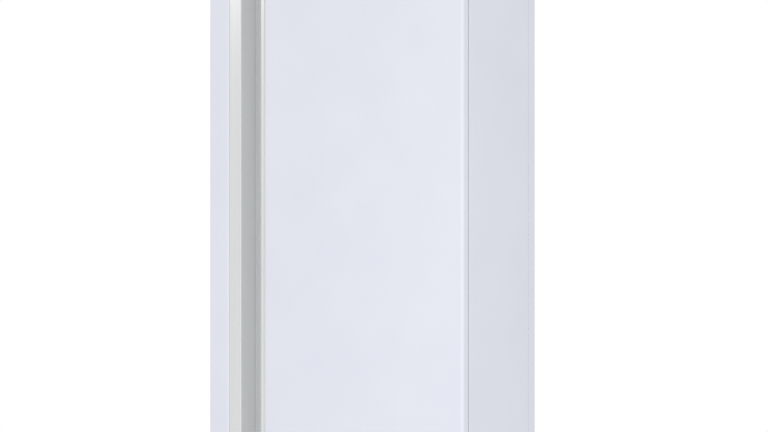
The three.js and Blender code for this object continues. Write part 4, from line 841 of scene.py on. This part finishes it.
fit("cover_lamps", cover_lamps, lit, "cabinet")

# ---------------------------------------------------------------------------------------------------------
# Switchgear on a zinc-plated top-hat rail: a two-pole breaker and a load-break isolator with a red knob.
# Both are moulded in light grey, with terminal screws in deep wells, and clamps stop them from sliding.

dress(["din_rail"], zinc, 0.2)
dress(["breaker_body", "isolator_body"], grey_abs, 0.8)
dress(["isolator_knob"], red_abs, 1.0)
dress(["breaker_lever"], black_nylon, 0.6)


def terminal(rings_shape, screws_shape, place, radius=5.0):
    """A terminal: a collar round the screw's well, and a slotted screw inside it."""
    turned(rings_shape, place, [(radius - 1.2, -0.2), (radius, -0.2), (radius, 0.5), (radius - 0.4, 0.8),
                                (radius - 1.2, 0.8)], 28, closed=True)
    turned(screws_shape, place, [(radius - 1.5, -0.3), (radius - 1.5, 0.3), (radius - 1.9, 0.5)], 24)
    raised(screws_shape, place, rounded(2 * radius - 4.4, 0.9, 0.2), 0.3, 0.75)


breaker_low, breaker_high = limits("breaker_body")
breaker_x = (breaker_low.x + breaker_high.x) / 2
rail_z = (breaker_low.z + breaker_high.z) / 2
SHOULDER = 16
mouldings = bmesh.new()
terminal_screws = bmesh.new()
for pole in (-9, 9):
    for rise in (-32, 32):
        spot = facing("front", breaker_x + pole, breaker_low.y + SHOULDER, rail_z + rise)
        terminal(mouldings, terminal_screws, spot)
seam = facing("front", breaker_x, breaker_low.y, rail_z)
for rise in (-19.5, -16.5, 16.5, 19.5):
    raised(mouldings, seam, rounded(30, 1.2, 0.5, 0, rise), -0.2, 0.6, 0.2)
for x in (-16.8, 16.8):
    raised(mouldings, seam, rounded(0.8, 44, 0.3, x, 0), -0.2, 0.5, 0.1)
isolator_face = facing("front", isolator_x, body_low.y + 4, rail_z)
for x in (-31, 0, 31):
    for rise in (-40, 40):
        terminal(mouldings, terminal_screws, isolator_face @ facing("up", x, rise, 0), 6.0)
for x in (-39, 39):
    raised(mouldings, isolator_face, rounded(3, 56, 1.3, x, 0), -0.2, 1.4, 0.5)
for quarter in range(2):
    turn = Matrix.Rotation(math.radians(90 * quarter), 4, "Z")
    raised(mouldings, isolator_face @ turn, rounded(2, 5, 0.9, 0, 28.5), -0.2, 0.9, 0.3)
fit("switchgear_mouldings", mouldings, grey_abs, "cabinet")
fit("terminal_screws", terminal_screws, stainless, "cabinet")

knob_low, _ = limits("isolator_knob")
pointer = bmesh.new()
knob_face = facing("front", isolator_x, knob_low.y, rail_z)
raised(pointer, knob_face, rounded(2.2, 12, 1.0, 0, 11), -0.2, 0.4, 0.15)
fit("knob_pointer", pointer, grey_abs, "isolator_knob")
grips = bmesh.new()
for side in (-1, 1):
    for k in range(7):
        place = facing("front", isolator_x + side * 6, knob_low.y + 6, rail_z - 15 + 5 * k)
        raised(grips, place, rounded(1.4, 1.8, 0.6), -6, 5, 0.4)
fit("knob_grips", grips, red_abs, "isolator_knob")

LEVER_REST = math.radians(-35)
LEVER_SINK = 6
lever_axis = Matrix.Translation(Vector((breaker_x, breaker_low.y + LEVER_SINK, rail_z)) * MM)
lever_turn = lever_axis @ Matrix.Rotation(LEVER_REST, 4, "X")
ridges = bmesh.new()
for k in range(4):
    for side in (-1, 1):
        place = lever_turn @ facing("up", 0, -16.6 + 2.2 * k, 0)
        raised(ridges, place, rounded(24, 1.0, 0.4), *sorted((side * 2.3, side * 3.1)))
fit("lever_ridges", ridges, black_nylon, "breaker_lever")

din_low, _ = limits("din_rail")
stops = bmesh.new()
stop_screws = bmesh.new()
for x in (body_low.x - 9, body_high.x + 9, breaker_low.x - 9, breaker_high.x + 9):
    place = facing("front", x, din_low.y, rail_z)
    raised(stops, place, rounded(9, 46, 2), 0.2, 20, 1.2)
    raised(stops, place, rounded(9, 18, 2), 19, 27, 1.2)
    turned(stop_screws, place, [(3.2, 26.8), (3.2, 27.6), (2.7, 28.0), (1.5, 28.0), (1.4, 27.2)], 20)
fit("rail_stops", stops, grey_abs, "cabinet")
fit("rail_stop_screws", stop_screws, stainless, "cabinet")

# ---------------------------------------------------------------------------------------------------------
# Earth bar: drawn brass on two posts, drilled and tapped, with a cheese-head screw in each hole.

drawn_brass, tree, shader, coordinates = blank("drawn_brass", metallic=1.0)
drawing = grain(tree, coordinates, 1.2, 1.0, (0.02, 1, 1))
tree.links.new(tint(tree, drawing, "DABD78", "E0C686"), shader.inputs["Base Color"])
vary_roughness(tree, shader, drawing, 0.3, 0.36)
relief(tree, shader, drawing, 0.004, 0.1)
dress(["earth_bar"], drawn_brass, 0.3)
bar_low, bar_high = limits("earth_bar")
bar_x, bar_z = (bar_low.x + bar_high.x) / 2, (bar_low.z + bar_high.z) / 2
EARTH_PITCH = 25
earth_screws = bmesh.new()
for step in range(-2, 3):
    place = facing("front", bar_x + step * EARTH_PITCH, bar_low.y, bar_z)
    turned(earth_screws, place, [(4.2, 0.1), (4.2, 2.6), (3.8, 3.0)], 28)
    raised(earth_screws, place, rounded(3.2, 1.6, 0.2, -2.2), 2.8, 3.5)
    raised(earth_screws, place, rounded(3.2, 1.6, 0.2, 2.2), 2.8, 3.5)
fit("earth_screws", earth_screws, stainless, "cabinet")

# ---------------------------------------------------------------------------------------------------------
# Cable glands: glass-filled nylon with a hexagon body over the plate, a ribbed dome nut, a rubber insert
# that grips the cable, and a locknut inside.

GLAND_BORE = 9
HEXAGON = 17.3
DOME_RIBS = 24
for side in ("left", "middle", "right"):
    gland_low, gland_high = limits(f"cable_gland_{side}")
    x, y = (gland_low.x + gland_high.x) / 2, (gland_low.y + gland_high.y) / 2
    mouth = gland_low.z
    place = facing("up", x, y, mouth)
    gland = bmesh.new()
    height = gland_high.z - mouth
    turned(gland, place, [(GLAND_BORE + 1.4, 0.8), (11.2, 0.0), (12.2, 0.4), (14.2, 5.0), (14.6, 8.0),
                          (14.6, 17.4), (GLAND_BORE + 1.4, 17.4)], 36, closed=True)
    turned(gland, place, [(GLAND_BORE, 17.2), (HEXAGON, 17.2), (HEXAGON, 23.6), (GLAND_BORE, 23.6)], 6,
           closed=True)
    turned(gland, place, [(GLAND_BORE, 24.0), (12.3, 24.0), (12.3, height - 0.6), (11.7, height),
                          (GLAND_BORE, height)], 36, closed=True)
    turned(gland, place, [(12.0, 26.4), (HEXAGON, 26.4), (HEXAGON, 30.0), (12.0, 30.0)], 6, closed=True)
    for k in range(DOME_RIBS):
        turn = Matrix.Rotation(2 * math.pi * k / DOME_RIBS, 4, "Z")
        raised(gland, place @ turn, rounded(1.5, 1.2, 0.5, 0, 14.6), 5.5, 17.0, 0.4)
    fit(f"cable_gland_{side}_nut", gland, black_nylon, "cabinet", [f"cable_gland_{side}"])
    insert = bmesh.new()
    turned(insert, place, [(GLAND_BORE, 1.2), (9.8, 0.6), (10.5, 1.0), (10.5, 16.0), (GLAND_BORE, 16.0)], 36,
           closed=True)
    fit(f"cable_gland_{side}_insert", insert, epdm, "cabinet")
